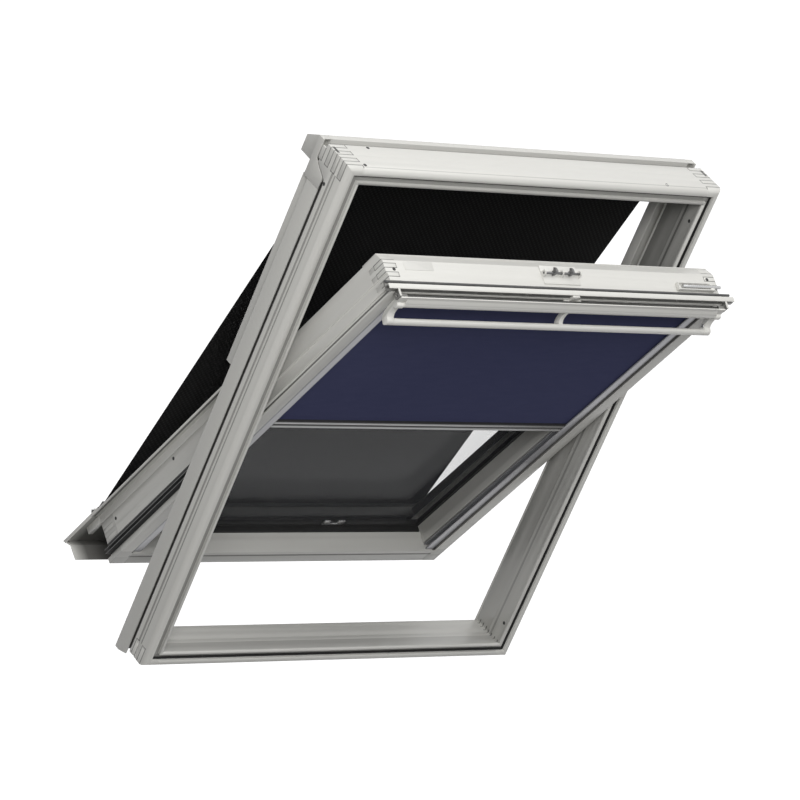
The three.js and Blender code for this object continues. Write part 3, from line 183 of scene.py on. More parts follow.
# A node tree with one way to add a node: settings first, then its sockets
class Nodes:
    def __init__(self, tree, owner=None):
        self.tree = tree
        self.owner = owner
        tree.nodes.clear()

    def node(self, kind, settings, inputs, output=0):
        made = self.tree.nodes.new(kind)
        for key, value in settings.items():
            setattr(made, key, value)
        for key, value in inputs.items():
            for item in value if isinstance(value, list) else [value]:
                if isinstance(item, Value):
                    self.tree.links.new(item.socket, made.inputs[key])
                else:
                    made.inputs[key].default_value = item
        if made.outputs:
            return Value(self.tree, made.outputs[output])

    def place(self, matrix=None):
        place = self.node("ShaderNodeTexCoord", {}, {}, "Object")
        if matrix is None:
            return place
        turn = {"Vector": place, "Location": matrix.translation, "Rotation": matrix.to_euler()}
        return self.node("ShaderNodeMapping", {}, turn)

    def split(self, place):
        return [self.node("ShaderNodeSeparateXYZ", {}, {"Vector": place}, axis) for axis in "XYZ"]

    def stretched(self, place, scale):
        return self.node("ShaderNodeMapping", {}, {"Vector": place, "Scale": scale})

    def noise(self, place, scale, detail=3.0, roughness=0.5):
        inputs = {"Vector": place, "Scale": scale, "Detail": detail, "Roughness": roughness}
        return self.node("ShaderNodeTexNoise", {}, inputs, "Fac")

    def mixed(self, factor, first, second):
        return self.node("ShaderNodeMix", {"data_type": "RGBA"}, {0: factor, 6: first, 7: second}, 2)

    def bump(self, height, strength, distance):
        inputs = {"Height": height, "Strength": strength, "Distance": distance}
        return self.node("ShaderNodeBump", {}, inputs)

    def surface(self, **inputs):
        named = {key.replace("_", " "): value for key, value in inputs.items()}
        shader = self.node("ShaderNodeBsdfPrincipled", {}, named)
        self.node("ShaderNodeOutputMaterial", {}, {"Surface": shader})
        return self.owner

    def closing(self, kind, factor, first, second):
        mix = self.node("ShaderNodeMixShader", {}, {0: factor, 1: first, 2: second})
        self.node(kind, {}, {"Surface": mix})


def newShader(name):
    material = bpy.data.materials.new(name)
    material.use_nodes = True
    return Nodes(material.node_tree, material)


def grey(level):
    return (level, level, level, 1.0)


# Painted wood and sheet, with dark joint lines and painted shade in grooves, gaps, recesses and shaded
# faces. Noise: scale, detail, roughness
paintSizes = {
    "light": (0.715, 0.707, 0.672, 1.0),
    "dark": (0.655, 0.648, 0.612, 1.0),
    # Colour of the dark joint lines and of the painted shade
    "line": (0.055, 0.054, 0.050, 1.0),
    "broad": (3.0, 4.0),
    "dust": (60.0, 5.0, 0.6),
    "fine": (900.0, 2.0),
    "broadShare": 0.7,
    "dustShare": 0.3,
    "fineRelief": 0.6,
    "dustRelief": 0.4,
    "rough": 0.40,
    "roughChange": 0.12,
    "grain": 0.12,
    "grainHeight": 0.0003,
    "coat": 0.12,
    "coatRough": 0.25,
}


def painted(name, linesAndShade=None, matrix=None, shade=1.0):
    p = paintSizes
    s = newShader(name)
    place = s.place(matrix)
    broad = s.noise(place, *p["broad"])
    fine = s.noise(place, *p["fine"])
    dust = s.noise(place, *p["dust"])
    light = tuple(channel * shade for channel in p["light"][:3]) + (1.0,)
    dark = tuple(channel * shade for channel in p["dark"][:3]) + (1.0,)
    mottle = (broad * p["broadShare"] + dust * p["dustShare"]).clipped()
    colour = s.mixed(mottle, dark, light)
    # Dark lines and painted shade are mixed in with the line colour
    if linesAndShade:
        x, y, z = s.split(place)
        colour = s.mixed(linesAndShade(abs(x), y, z).clipped(), colour, p["line"])
    return s.surface(
        Base_Color=colour,
        Roughness=p["rough"] + (dust - 0.5) * p["roughChange"],
        Normal=s.bump(fine * p["fineRelief"] + dust * p["dustRelief"], p["grain"], p["grainHeight"]),
        Coat_Weight=p["coat"],
        Coat_Roughness=p["coatRough"],
    )


# Outer frame: x from the middle, y outdoors from the middle of the depth, z from the underside
frameSizes = {
    "half": 0.390,
    "height": 0.978,
    "width": 0.031,
    "depthStart": 0.040,
    "layer": 0.010,
    "line": 0.0010,
    "fingersEnd": 0.0765,
    "noseLine": (0.0058, 0.0074),
    "noseTop": 0.004,
    "bandFloor": 0.0095,
    "bandStart": 0.0693,
    "gapFloor": (0.0030, 0.0080),
    "gapDepth": (0.0441, 0.0620),
    "gapTop": 0.9180,
    "innerFace": (0.0262, 0.0338),
    "grooveOut": 0.376,
    "grooveIn": 0.3646,
    "grooveFloor": (0.0062, 0.0082),
    "rebate": (0.0305, 0.0350),
    "lip": (0.0254, 0.0310),
    "lipDepth": 0.003,
    "firstGroove": (0.0239, 0.0263),
    "secondGroove": (0.0319, 0.0351),
    "sideGrooveFloor": 0.0037,
    "rim": 0.0022,
}
# How dark each of them is: the finger joints and the nose line are dark lines, the rest is painted shade,
# and the painted shade on the opening's faces deepens outwards and upwards
frameShades = {
    "fingers": 0.65,
    "sideGrooveShade": 0.6,
    "nose": 0.3,
    "openingShade": 0.12,
    "perDepth": 4.5,
    "perHeight": 0.3,
    "rebate": 0.3,
    "frontGrooveShade": 0.6,
    "bandShade": 0.6,
    "lip": 0.35,
}


def frameJointsAndShade(x, y, z):
    f = frameSizes
    depth = y + f["depthStart"]
    fromEnd = f["height"] / 2 - abs(z - f["height"] / 2)
    fromSide = f["half"] - x
    inBlock = (fromEnd < f["width"] + f["line"]) * (fromSide < f["width"] + f["line"])
    inBlock = inBlock * depth.between(f["layer"] / 2, f["fingersEnd"])
    layerLine = inBlock * (depth.wave(f["layer"] / 2) * (f["layer"] / 2) < f["line"])
    jambLayer = (depth % (2 * f["layer"])) < f["layer"]
    sideEnd = (abs(fromSide - f["width"]) < f["line"]) * jambLayer * (fromEnd < f["rim"])
    headEnd = (abs(fromEnd - f["width"]) < f["line"]) * (1 - jambLayer) * (fromSide < f["rim"])
    ends = (sideEnd + headEnd) * (depth < f["fingersEnd"])
    # Painted shade in the two grooves of the outer side faces
    sideGrooveShade = depth.between(*f["firstGroove"]) + depth.between(*f["secondGroove"])
    sideGrooveShade = sideGrooveShade * (fromSide < f["sideGrooveFloor"]) * (fromEnd > f["width"])
    # Painted shade on the floor of the front groove
    frontGrooveShade = depth.between(*f["grooveFloor"])
    outwards = f["half"] - f["grooveOut"]
    inwards = f["half"] - f["grooveIn"]
    onSide = fromSide.between(outwards, inwards) * (fromEnd > outwards)
    onEnd = fromEnd.between(outwards, inwards) * (fromSide > outwards)
    fromTop = f["height"] - z
    # Painted shade in the gap behind the side cover
    gapHere = fromSide.between(*f["gapFloor"]).most((z < f["gapTop"]) * (fromSide < f["gapFloor"][1]))
    gapShade = depth.between(*f["gapDepth"]) * gapHere
    # Painted shade on the faces of the opening, and more in its rebate
    openingShade = fromSide.between(*f["innerFace"]).most(fromEnd.between(*f["innerFace"]))
    openingShade = openingShade * (fromSide > f["innerFace"][0]) * (fromEnd > f["innerFace"][0]) * (depth > f["rim"])
    rebate = depth.between(*f["rebate"])
    # Painted shade on the room face of the head's inner lip
    innerLipShade = fromTop.between(*f["lip"]) * (fromSide > f["lip"][0]) * (depth < f["lipDepth"])
    noseLine = depth.between(*f["noseLine"]) * (fromTop < f["noseTop"]) * (fromSide > f["width"])
    # Painted shade on the band along the back of the head's top
    bandShade = (depth > f["bandStart"]) * (fromTop < f["bandFloor"]) * (fromSide > f["rim"])
    dark = frameShades
    jointsAndShade = (layerLine + ends) * dark["fingers"]
    jointsAndShade = jointsAndShade + sideGrooveShade * dark["sideGrooveShade"] + noseLine * dark["nose"]
    insideShade = dark["openingShade"] + depth * dark["perDepth"] + z * dark["perHeight"] + rebate * dark["rebate"]
    jointsAndShade = jointsAndShade + openingShade * insideShade + frontGrooveShade * onSide.most(onEnd) * dark["frontGrooveShade"]
    return jointsAndShade + gapShade + bandShade * dark["bandShade"] + innerLipShade * dark["lip"]


# Sash: x from the middle, y out of the room face, z from the middle of its height
sashSizes = {
    "half": 0.345,
    "halfHeight": 0.443,
    "finger": 0.024,
    "fingerStart": 0.021,
    "fingerEnd": 0.061,
    "layer": 0.008,
    "line": 0.0007,
    "rim": 0.0015,
    "recess": (0.0022, 0.0105),
    "recessFace": (0.341, 0.346),
    "recessFrom": 0.0535,
    "sillLine": (-0.4256, -0.4204),
    "sillLineDepth": 0.003,
    "sillLineHalf": 0.325,
    "sillTop": 0.405,
    "front": 0.001,
    "stileFace": 0.309,
    "pocket": (0.3224, 0.3278),
    "pocketDepth": (0.0010, 0.0168),
}
# How dark each is: the fingers are dark joints, the rest is painted shade
sashShades = {
    "fingers": 0.65,
    "recessAndPocketShade": 0.9,
    "sillLine": 0.6,
    "sill": 0.22,
    "sillFront": 0.14,
    "stile": 0.28,
}


def sashJointsAndShade(x, y, z):
    f = sashSizes
    fromEnd = f["halfHeight"] - abs(z)
    fromSide = f["half"] - x
    inBlock = (fromEnd < f["finger"] + f["line"]) * (fromSide < f["finger"] + f["line"])
    inBlock = inBlock * y.between(f["fingerStart"] - f["line"], f["fingerEnd"] + f["line"])
    level = y - f["fingerStart"] + f["layer"] * 4  # four layers more, so that it stays above nought
    layerLine = inBlock * (level.wave(f["layer"] / 2) * (f["layer"] / 2) < f["line"])
    headLayer = (level % (2 * f["layer"])) < f["layer"]
    inFingers = y.between(f["fingerStart"], f["fingerEnd"])
    sideEnd = (abs(fromSide - f["finger"]) < f["line"]) * (1 - headLayer) * (fromEnd < f["finger"])
    headEnd = (abs(fromEnd - f["finger"]) < f["line"]) * headLayer * (fromSide < f["rim"])
    fingers = (layerLine + (sideEnd + headEnd) * inFingers) * (z > 0)
    # Painted shade in the recess behind the stiles' front lip, in the channel pockets and in the sill's
    # groove
    recess = y.between(*f["recess"]) * x.between(*f["recessFace"]) * (z > f["recessFrom"])
    sillLine = z.between(*f["sillLine"]) * (y < f["sillLineDepth"]) * (x < f["sillLineHalf"])
    pocket = x.between(*f["pocket"]) * y.between(*f["pocketDepth"])
    dark = sashShades
    # Painted shade on the sill's faces and on the stiles' inner faces
    sillFront = (z < f["sillLine"][0]) * (y < f["front"]) * dark["sillFront"]
    faces = (z < -f["sillTop"]) * dark["sill"] + sillFront
    faces = faces + (x < f["stileFace"]) * (abs(z) < f["sillTop"]) * dark["stile"]
    linesAndShade = fingers * dark["fingers"] + (recess + pocket) * dark["recessAndPocketShade"]
    return linesAndShade + sillLine * dark["sillLine"] + faces


# Smaller painted pieces and the channels, in the sash's axes: where painted shade lies on them, and how
# dark it is
smallShades = {
    "lipFoot": 0.4522,
    "lip": 0.8,
    "troughFoot": 0.4450,
    "troughFront": -0.0116,
    "troughShade": 0.85,
    "flapBand": (0.4372, 0.4484),
    "bandShade": 0.3,
    "coverEdge": (0.0873, 0.0887),
    "coverHalf": (0.3530, 0.3603),
    "cover": 0.85,
    "coverInner": 0.3125,
    "foldEnd": 0.364,
    "foldFade": 0.030,
    "foldDepth": 0.0912,
    "bottomInner": -0.4165,
    "casingFoot": 0.4270,
    "casing": 0.7,
    "channelOuter": 0.3195,
    "outer": 0.5,
    "channelInner": 0.3082,
    "inner": 0.4,
}


# Painted shade on the lip's vented foot, under its plate
def lipFootShade(x, y, z):
    d = smallShades
    return (z < d["lipFoot"]) * d["lip"]


# Painted shade in the flap's trough behind its upper edge, and in the hollow band above its nose
def flapShade(x, y, z):
    d = smallShades
    troughShade = (z > d["troughFoot"]) * (y > d["troughFront"]) * d["troughShade"]
    return troughShade + z.between(*d["flapBand"]) * d["bandShade"]


# Painted shade on the underside behind a cover's turned-down edge
def coverEdgeShade(x, y):
    d = smallShades
    return y.between(*d["coverEdge"]) * x.between(*d["coverHalf"]) * d["cover"]


# Side covers of the sash: painted shade on that edge, and on the face that looks at the glass
def sideCoverShade(x, y, z):
    return coverEdgeShade(x, y) + (x < smallShades["coverInner"])


# Bottom cover: painted shade on the inside of its fold, away from the ends, on the face that looks at the
# glass, and behind its edge
def bottomCoverShade(x, y, z):
    d = smallShades
    foldShade = ((d["foldEnd"] - x) / d["foldFade"]).clipped() * (y < d["foldDepth"]) * d["cover"]
    return foldShade + (z > d["bottomInner"]) + coverEdgeShade(x, y)


# Painted shade on the blind casing's upper part, behind the flap
def casingShade(x, y, z):
    d = smallShades
    return (z > d["casingFoot"]) * d["casing"]


# Blind channels: painted shade on the edges beside the stile and the fabric
def channelEdgeShade(x, y, z):
    d = smallShades
    return (x > d["channelOuter"]) * d["outer"] + (x < d["channelInner"]) * d["inner"]


# Metals, brushed along the piece or evenly all round, some with stripes of painted shade
metalSizes = {
    "brushed": (1.0, 4.0, 0.6),
    "broad": (8.0, 3.0),
    "brushedShare": 0.6,
    "broadShare": 0.4,
    # Colour of the painted shade stripes
    "line": 0.05,
    "roughChange": 0.15,
    "grain": 0.08,
    "grainHeight": 0.0002,
    "along": (40, 900, 900),
    "around": (300, 300, 300),
}


def metal(name, light, dark, rough, brushing, metallic, shadeStripes=None):
    m = metalSizes
    s = newShader(name)
    place = s.place(fromSash)
    brushed = s.noise(s.stretched(place, m[brushing]), *m["brushed"])
    broad = s.noise(place, *m["broad"])
    mottle = (brushed * m["brushedShare"] + broad * m["broadShare"]).clipped()
    colour = s.mixed(mottle, dark, light)
    # Stripes of painted shade are mixed in
    if shadeStripes:
        x, y, z = s.split(place)
        colour = s.mixed(shadeStripes(abs(x), y, z).clipped(), colour, grey(m["line"]))
    return s.surface(
        Base_Color=colour,
        Metallic=metallic,
        Roughness=rough + (brushed - 0.5) * m["roughChange"],
        Normal=s.bump(brushed, m["grain"], m["grainHeight"]),
    )


# Rubber, with a painted highlight on the tips of the side gaskets' lips
rubberSizes = {
    "grain": (1200.0, 2.0),
    "bloom": (25.0, 4.0),
    "highlightTips": (0.3543, 0.3556),
    "darker": 0.7,
    "lighter": 1.3,
    "rough": 0.62,
    "roughChange": 0.2,
    "grainDepth": 0.2,
    "grainHeight": 0.0002,
    "gloss": 0.3,
}


def rubber(name, level, tipHighlight):
    r = rubberSizes
    s = newShader(name)
    place = s.place()
    x, y, z = s.split(place)
    grain = s.noise(place, *r["grain"])
    bloom = s.noise(place, *r["bloom"])
    # Painted highlight on the gasket lips' tips
    highlightTips = abs(x).between(*r["highlightTips"])
    dark = s.mixed(bloom, grey(level * r["darker"]), grey(level * r["lighter"]))
    return s.surface(
        Base_Color=s.mixed(highlightTips, dark, grey(tipHighlight)),
        Roughness=r["rough"] + bloom * r["roughChange"],
        Normal=s.bump(grain, r["grainDepth"], r["grainHeight"]),
        Specular_IOR_Level=r["gloss"],
    )


# Awning: a black mesh of threads with small openings
meshSizes = {
    "thread": 0.0014,
    "hole": 0.0045,
    "speck": (420.0, 1.0),
    "threadFloor": 0.35,
    "threadShare": 0.5,
    "holeShare": 0.7,
    "threadRelief": 0.6,
    "holeRelief": 0.4,
    "dark": 0.004,
    "light": 0.034,
    "rough": 0.75,
    "roughChange": 0.2,
    "relief": 0.4,
    "reliefHeight": 0.0004,
    "gloss": 0.12,
}


def awningMaterial():
    w = meshSizes
    s = newShader("awningMesh")
    place = s.place()
    x, y, z = s.split(place)
    thread = x.wave(w["thread"]).most(z.wave(w["thread"]))
    coarse = (x + z).wave(w["hole"]) * (x - z).wave(w["hole"])
    speck = s.noise(place, *w["speck"])
    light = (thread - w["threadFloor"]) * w["threadShare"] * speck + coarse * w["holeShare"]
    relief = thread * w["threadRelief"] + coarse * w["holeRelief"]
    return s.surface(
        Base_Color=s.mixed(light.clipped(), grey(w["dark"]), grey(w["light"])),
        Roughness=w["rough"] + speck * w["roughChange"],
        Normal=s.bump(relief, w["relief"], w["reliefHeight"]),
        Specular_IOR_Level=w["gloss"],
    )


# Blackout blind: a navy cloth with fine ribs across
navySizes = {
    "rib": 0.0011,
    "fleckScale": (900, 300, 300),
    "fleck": (1.0, 2.0),
    "patchScale": (30, 90, 90),
    "patch": (1.0, 3.0),
    "broad": (2.2, 3.0),
    "broadShare": 0.4,
    "patchShare": 0.25,
    "fleckShare": 0.2,
    "ribShare": 0.15,
    "ribRelief": 0.6,
    "fleckRelief": 0.4,
    "dark": (0.054, 0.060, 0.142, 1),
    "light": (0.108, 0.116, 0.224, 1),
    "rough": 0.86,
    "roughChange": 0.1,
    "relief": 0.25,
    "reliefHeight": 0.0003,
    "gloss": 0.1,
}


def navyMaterial():
    w = navySizes
    s = newShader("navyCloth")
    place = s.place()
    x, y, z = s.split(place)
    rib = z.wave(w["rib"])
    fleck = s.noise(s.stretched(place, w["fleckScale"]), *w["fleck"])
    broad = s.noise(place, *w["broad"])
    patch = s.noise(s.stretched(place, w["patchScale"]), *w["patch"])
    mottle = broad * w["broadShare"] + patch * w["patchShare"]
    mottle = mottle + fleck * w["fleckShare"] + rib * w["ribShare"]
    relief = rib * w["ribRelief"] + fleck * w["fleckRelief"]
    return s.surface(
        Base_Color=s.mixed(mottle.clipped(), w["dark"], w["light"]),
        Roughness=w["rough"] + fleck * w["roughChange"],
        Normal=s.bump(relief, w["relief"], w["reliefHeight"]),
        Specular_IOR_Level=w["gloss"],
    )


# Glass: nearly clear, with faint streaks
glassSizes = {
    "streak": (5.0, 3.0),
    "dark": (0.085, 0.090, 0.105, 1),
    "light": (0.115, 0.12, 0.135, 1),
    "rough": 0.03,
    "alpha": 0.12,
    "change": 0.02,
    "gloss": 0.3,
}


def glassMaterial():
    g = glassSizes
    s = newShader("windowGlass")
    streak = s.noise(s.place(), *g["streak"])
    return s.surface(
        Base_Color=s.mixed(streak, g["dark"], g["light"]),
        Roughness=g["rough"] + streak * g["change"],
        Alpha=g["alpha"] + streak * g["change"],
        Specular_IOR_Level=g["gloss"],
    )


# Drilled holes: shallow discs, dark with the painted shade of their insides and a dusty mottle
holeSizes = {
    "dust": (700.0, 2.0),
    "dark": 0.02,
    "light": 0.06,
    "rough": 0.7,
    "roughChange": 0.2,
}


def holeMaterial():
    h = holeSizes
    s = newShader("paintedHoleShade")
    dust = s.noise(s.place(), *h["dust"])
    colour = s.mixed(dust, grey(h["dark"]), grey(h["light"]))
    return s.surface(Base_Color=colour, Roughness=h["rough"] + dust * h["roughChange"])


# Bottom bar of the blackout blind: dark stripes along its face, painted shade of flutes that its shape
# doesn't have
barSizes = {
    "flute": 0.0055,
    "darkShare": 0.42,
}


# Painted shade of the flutes, as stripes
def fluteShade(x, y, z):
    return z.wave(barSizes["flute"]) < barSizes["darkShare"]


# One material for each slot of the record, then the finishes of single pieces
materials = {
    "painted_frame": painted("paintedWood"),
    "cover_sheet": painted("paintedSheet", shade=0.9),
    "seal_rubber": rubber("sealRubber", level=0.014, tipHighlight=0.014),
    "profile_aluminium": metal(
        "satinChannel",
        (0.48, 0.48, 0.505, 1),
        (0.38, 0.38, 0.40, 1),
        rough=0.4,
        brushing="along",
        metallic=0.35,
        shadeStripes=channelEdgeShade,
    ),
    "fitting_steel": metal(
        "platedSteel", grey(0.62), grey(0.45), rough=0.28, brushing="around", metallic=0.8
    ),
    "awning_rail": painted("blackSheet", shade=0.025),
    "awning_cloth": awningMaterial(),
    "blackout_cloth": navyMaterial(),
    "window_glass": glassMaterial(),
    "spacer_bar": painted("spacerDark", shade=0.05),
}
frameWood = painted("framePaint", frameJointsAndShade)
sashWood = painted("sashPaint", sashJointsAndShade, fromSash)
lipPaint = painted("lipPaint", lipFootShade, fromSash, shade=1.03)
lockPaint = painted("lockPaint", shade=1.03)
flapPaint = painted("flapPaint", flapShade, fromSash, shade=1.25)
# The blind casing is painted darker overall as well: painted shade behind the flap
casingShadePaint = painted("casingShadePaint", casingShade, fromSash, shade=0.55)
sashSheet = painted("sashSheet", sideCoverShade, fromSash, shade=0.98)
bottomSheet = painted("bottomSheet", bottomCoverShade, fromSash, shade=0.98)
paleRubber = rubber("paleRubber", level=0.12, tipHighlight=0.12)
sideRubber = rubber("sideRubber", level=0.045, tipHighlight=0.28)
darkSteel = metal("darkSteel", grey(0.22), grey(0.13), rough=0.35, brushing="around", metallic=0.7)
barMetal = metal(
    "barMetal", grey(0.48), grey(0.38), rough=0.35, brushing="along", metallic=0.4, shadeStripes=fluteShade
)
holeShade = holeMaterial()
finishOf = {
    "frame_jamb_left": frameWood,
    "frame_jamb_right": frameWood,
    "frame_head": frameWood,
    "frame_sill": frameWood,
    "sash_stile_left": sashWood,
    "sash_stile_right": sashWood,
    "sash_head": sashWood,
    "sash_sill": sashWood,
    "head_lip": lipPaint,
    "grip_bracket_left": flapPaint,
    "grip_bracket_right": flapPaint,
    "grip_strut": flapPaint,
    "blind_casing": casingShadePaint,
    "sash_cover_left": sashSheet,
    "sash_cover_right": sashSheet,
    "bottom_cover": bottomSheet,
    "lock_case": lockPaint,
    "bolt_housing": lockPaint,
    "flap_catch": lockPaint,
    "head_gasket": paleRubber,
    "side_gasket_left": sideRubber,
    "side_gasket_right": sideRubber,
    "lock_latch": darkSteel,
    "blind_bar": barMetal,
}
print("materials made:", len(bpy.data.materials))

slotOf = {item["node"]: item["material_slot"] for item in frame["record"]["subparts"]}


def linked(mesh, name, material):
    made = bpy.data.objects.new(name, mesh)
    bpy.context.scene.collection.objects.link(made)
    mesh.materials.clear()
    mesh.materials.append(material)
    return made


def applied(made):
    bpy.context.view_layer.update()
    evaluated = made.evaluated_get(bpy.context.evaluated_depsgraph_get())
    mesh = bpy.data.meshes.new_from_object(evaluated)
    made.modifiers.clear()
    made.data = mesh
    return made


# Every rigid node shows with small rounded edges
edgeSizes = {
    "usual": 0.0006,
    "sheet": 0.0004,
    "small": 0.00025,
    "angle": math.radians(28),
    "sharp": math.radians(40),
    "flat": math.radians(0.4),
    "merge": 0.00001,
    "segments": 2,
}
smallNodes = (
    "lock_case", "lock_latch", "bolt_housing", "flap_catch", "glass_clip", "lock_striker",
    "awning_hook_left", "awning_hook_right", "hinge_frame_left", "hinge_frame_right",
    "hinge_sash_left", "hinge_sash_right", "barrel_bolt", "blind_bar",
)
ownNodes = ("awning_fabric", "blackout_fabric", "vent_bar", "grip_bar")


def rounded(made, width):
    bevel = made.modifiers.new("edges", "BEVEL")
    bevel.width = width
    bevel.segments = edgeSizes["segments"]
    bevel.limit_method = "ANGLE"
    bevel.angle_limit = edgeSizes["angle"]
    bevel.use_clamp_overlap = True
    applied(made)
    made.data.shade_smooth()
    made.data.set_sharp_from_angle(angle=edgeSizes["sharp"])


def roundedNode(name):
    source = nodes[name]
    slot = slotOf[name]
    mesh = source.data.copy()
    work = bmesh.new()
    work.from_mesh(mesh)
    bmesh.ops.remove_doubles(work, verts=work.verts, dist=edgeSizes["merge"])
    bmesh.ops.dissolve_limit(
        work, angle_limit=edgeSizes["flat"], verts=work.verts, edges=work.edges, delimit=set()
    )
    work.to_mesh(mesh)
    work.free()
    made = linked(mesh, name + ".shown", finishOf.get(name, materials[slot]))
    width = edgeSizes["usual"]
    if slot in ("cover_sheet", "profile_aluminium", "awning_rail"):
        width = edgeSizes["sheet"]
    if name in smallNodes or slot == "seal_rubber":
        width = edgeSizes["small"]
    rounded(made, width)
    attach(made, source["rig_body"])
    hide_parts(name)


rigid = 0
for name in sorted(nodes):
    if name in ownNodes:
        continue
    if slotOf[name] == "window_glass":
        nodes[name].data.materials.clear()
        nodes[name].data.materials.append(materials["window_glass"])
        continue
    roundedNode(name)
    rigid += 1
print("nodes rounded:", rigid)


# Geometry Nodes: a flat outline pushed along its normal, and small pieces set on points
def newGroup(name, inputs):
    group = bpy.data.node_groups.new(name, "GeometryNodeTree")
    group.interface.new_socket("Geometry", in_out="INPUT", socket_type="NodeSocketGeometry")
    for label, kind in inputs.items():
        group.interface.new_socket(label, in_out="INPUT", socket_type=kind)
    group.interface.new_socket("Geometry", in_out="OUTPUT", socket_type="NodeSocketGeometry")
    return Nodes(group)


def sweepGroup():
    g = newGroup("sweepOutline", {"Length": "NodeSocketFloat", "Finish": "NodeSocketMaterial"})
    outline = g.node("NodeGroupInput", {}, {}, "Geometry")
    length = g.node("NodeGroupInput", {}, {}, "Length")
    finish = g.node("NodeGroupInput", {}, {}, "Finish")
    pushed = g.node(
        "GeometryNodeExtrudeMesh",
        {"mode": "FACES"},
        {"Mesh": outline, "Offset Scale": length, "Individual": False},
    )
    back = g.node("GeometryNodeFlipFaces", {}, {"Mesh": outline})
    whole = g.node("GeometryNodeJoinGeometry", {}, {"Geometry": [pushed, back]})
    closed = g.node("GeometryNodeMergeByDistance", {}, {"Geometry": whole, "Distance": edgeSizes["merge"]})
    real = g.node("GeometryNodeRealizeInstances", {}, {"Geometry": closed})
    done = g.node("GeometryNodeSetMaterial", {}, {"Geometry": real, "Material": finish})
    g.node("NodeGroupOutput", {}, {"Geometry": done})
    return g.tree


# Least and most turn of a set piece about its own axis
pieceSpin = (0.0, 6.28)


def scatterGroup():
    g = newGroup(
        "setOnPoints",
        {"Piece": "NodeSocketObject", "Seed": "NodeSocketInt", "Finish": "NodeSocketMaterial"},
    )
    points = g.node("NodeGroupInput", {}, {}, "Geometry")
    piece = g.node("NodeGroupInput", {}, {}, "Piece")
    seed = g.node("NodeGroupInput", {}, {}, "Seed")
    finish = g.node("NodeGroupInput", {}, {}, "Finish")
    shape = g.node("GeometryNodeObjectInfo", {}, {"Object": piece}, "Geometry")
    facing = g.node("GeometryNodeInputNamedAttribute", {"data_type": "FLOAT_VECTOR"}, {"Name": "facing"})
    turned = g.node("FunctionNodeAlignRotationToVector", {"axis": "Z"}, {"Vector": facing})
    least, most = pieceSpin
    angle = g.node("FunctionNodeRandomValue", {"data_type": "FLOAT"}, {2: least, 3: most, "Seed": seed}, 1)
    spin = g.node("ShaderNodeCombineXYZ", {}, {"Z": angle})
    turned = g.node(
        "FunctionNodeRotateRotation", {"rotation_space": "LOCAL"}, {"Rotation": turned, "Rotate By": spin}
    )
    placed = g.node(
        "GeometryNodeInstanceOnPoints", {}, {"Points": points, "Instance": shape, "Rotation": turned}
    )
    real = g.node("GeometryNodeRealizeInstances", {}, {"Geometry": placed})
    done = g.node("GeometryNodeSetMaterial", {}, {"Geometry": real, "Material": finish})
    g.node("NodeGroupOutput", {}, {"Geometry": done})
    return g.tree


def runGroup(made, group, values):
    modifier = made.modifiers.new("nodes", "NODES")
    modifier.node_group = group
    for item in group.interface.items_tree:
        if item.name in values:
            modifier[item.identifier] = values[item.name]
    return applied(made)


def outlineMesh(name, corners):
    mesh = bpy.data.meshes.new(name)
    mesh.from_pydata(corners, [], [tuple(range(len(corners)))])
    mesh.validate()
    return mesh


sweep = sweepGroup()
scatter = scatterGroup()


def swept(name, corners, facing, length, finish, width):
    mesh = outlineMesh(name, corners)
    if mesh.polygons[0].normal.dot(Vector(facing)) < 0:
        mesh.flip_normals()
    made = linked(mesh, name, finish)
    runGroup(made, sweep, {"Length": length, "Finish": finish})
    rounded(made, width)
    return made


# Flap: a bent profile with a rounded nose and a solid back, and the oval grip bar below it.
# Corners are depth and height in the sash's axes
flapSizes = {
    "half": 0.3237,
    "outer": (
        (-0.0116, 0.4490), (-0.0130, 0.4484), (-0.0134, 0.4470), (-0.0137, 0.4446), (-0.0148, 0.4430),
        (-0.0168, 0.4409), (-0.0185, 0.4382), (-0.0195, 0.4350), (-0.0195, 0.4315), (-0.0185, 0.4282),
        (-0.0166, 0.4256), (-0.0146, 0.4240),
    ),
    "inner": ((-0.0060, 0.4240), (-0.0060, 0.4458), (-0.0112, 0.4458)),
    "gripDepth": -0.024,
    "gripHeight": 0.3945,
    "gripReach": (0.005, 0.007),
    "gripSides": 40,
    "edge": 0.0005,
}


def inWorld(x, y, z):
    return toSash @ Vector((x, y, z))


def addFlap():
    f = flapSizes
    corners = [inWorld(-f["half"], y, z) for y, z in f["outer"] + f["inner"]]
    flap = swept("flapProfile", corners, (1, 0, 0), 2 * f["half"], flapPaint, f["edge"])
    corners = []
    for step in range(f["gripSides"]):
        turn = 2 * math.pi * step / f["gripSides"]
        y = f["gripDepth"] + f["gripReach"][0] * math.cos(turn)
        z = f["gripHeight"] + f["gripReach"][1] * math.sin(turn)
        corners.append(inWorld(-f["half"], y, z))
    grip = swept("gripProfile", corners, (1, 0, 0), 2 * f["half"], flapPaint, f["edge"])
    for piece, node in ((flap, "vent_bar"), (grip, "grip_bar")):
        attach(piece, nodes[node]["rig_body"])
        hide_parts(node)


addFlap()

# Bare plate on the head of the sash
plateSizes = {
    "left": -0.3055,
    "right": -0.2480,
    "front": 0.0415,
    "back": 0.0572,
    "foot": 0.44295,
    "thickness": 0.0005,
    "corner": 0.0015,
    "steps": 4,
    "edge": 0.0001,
}


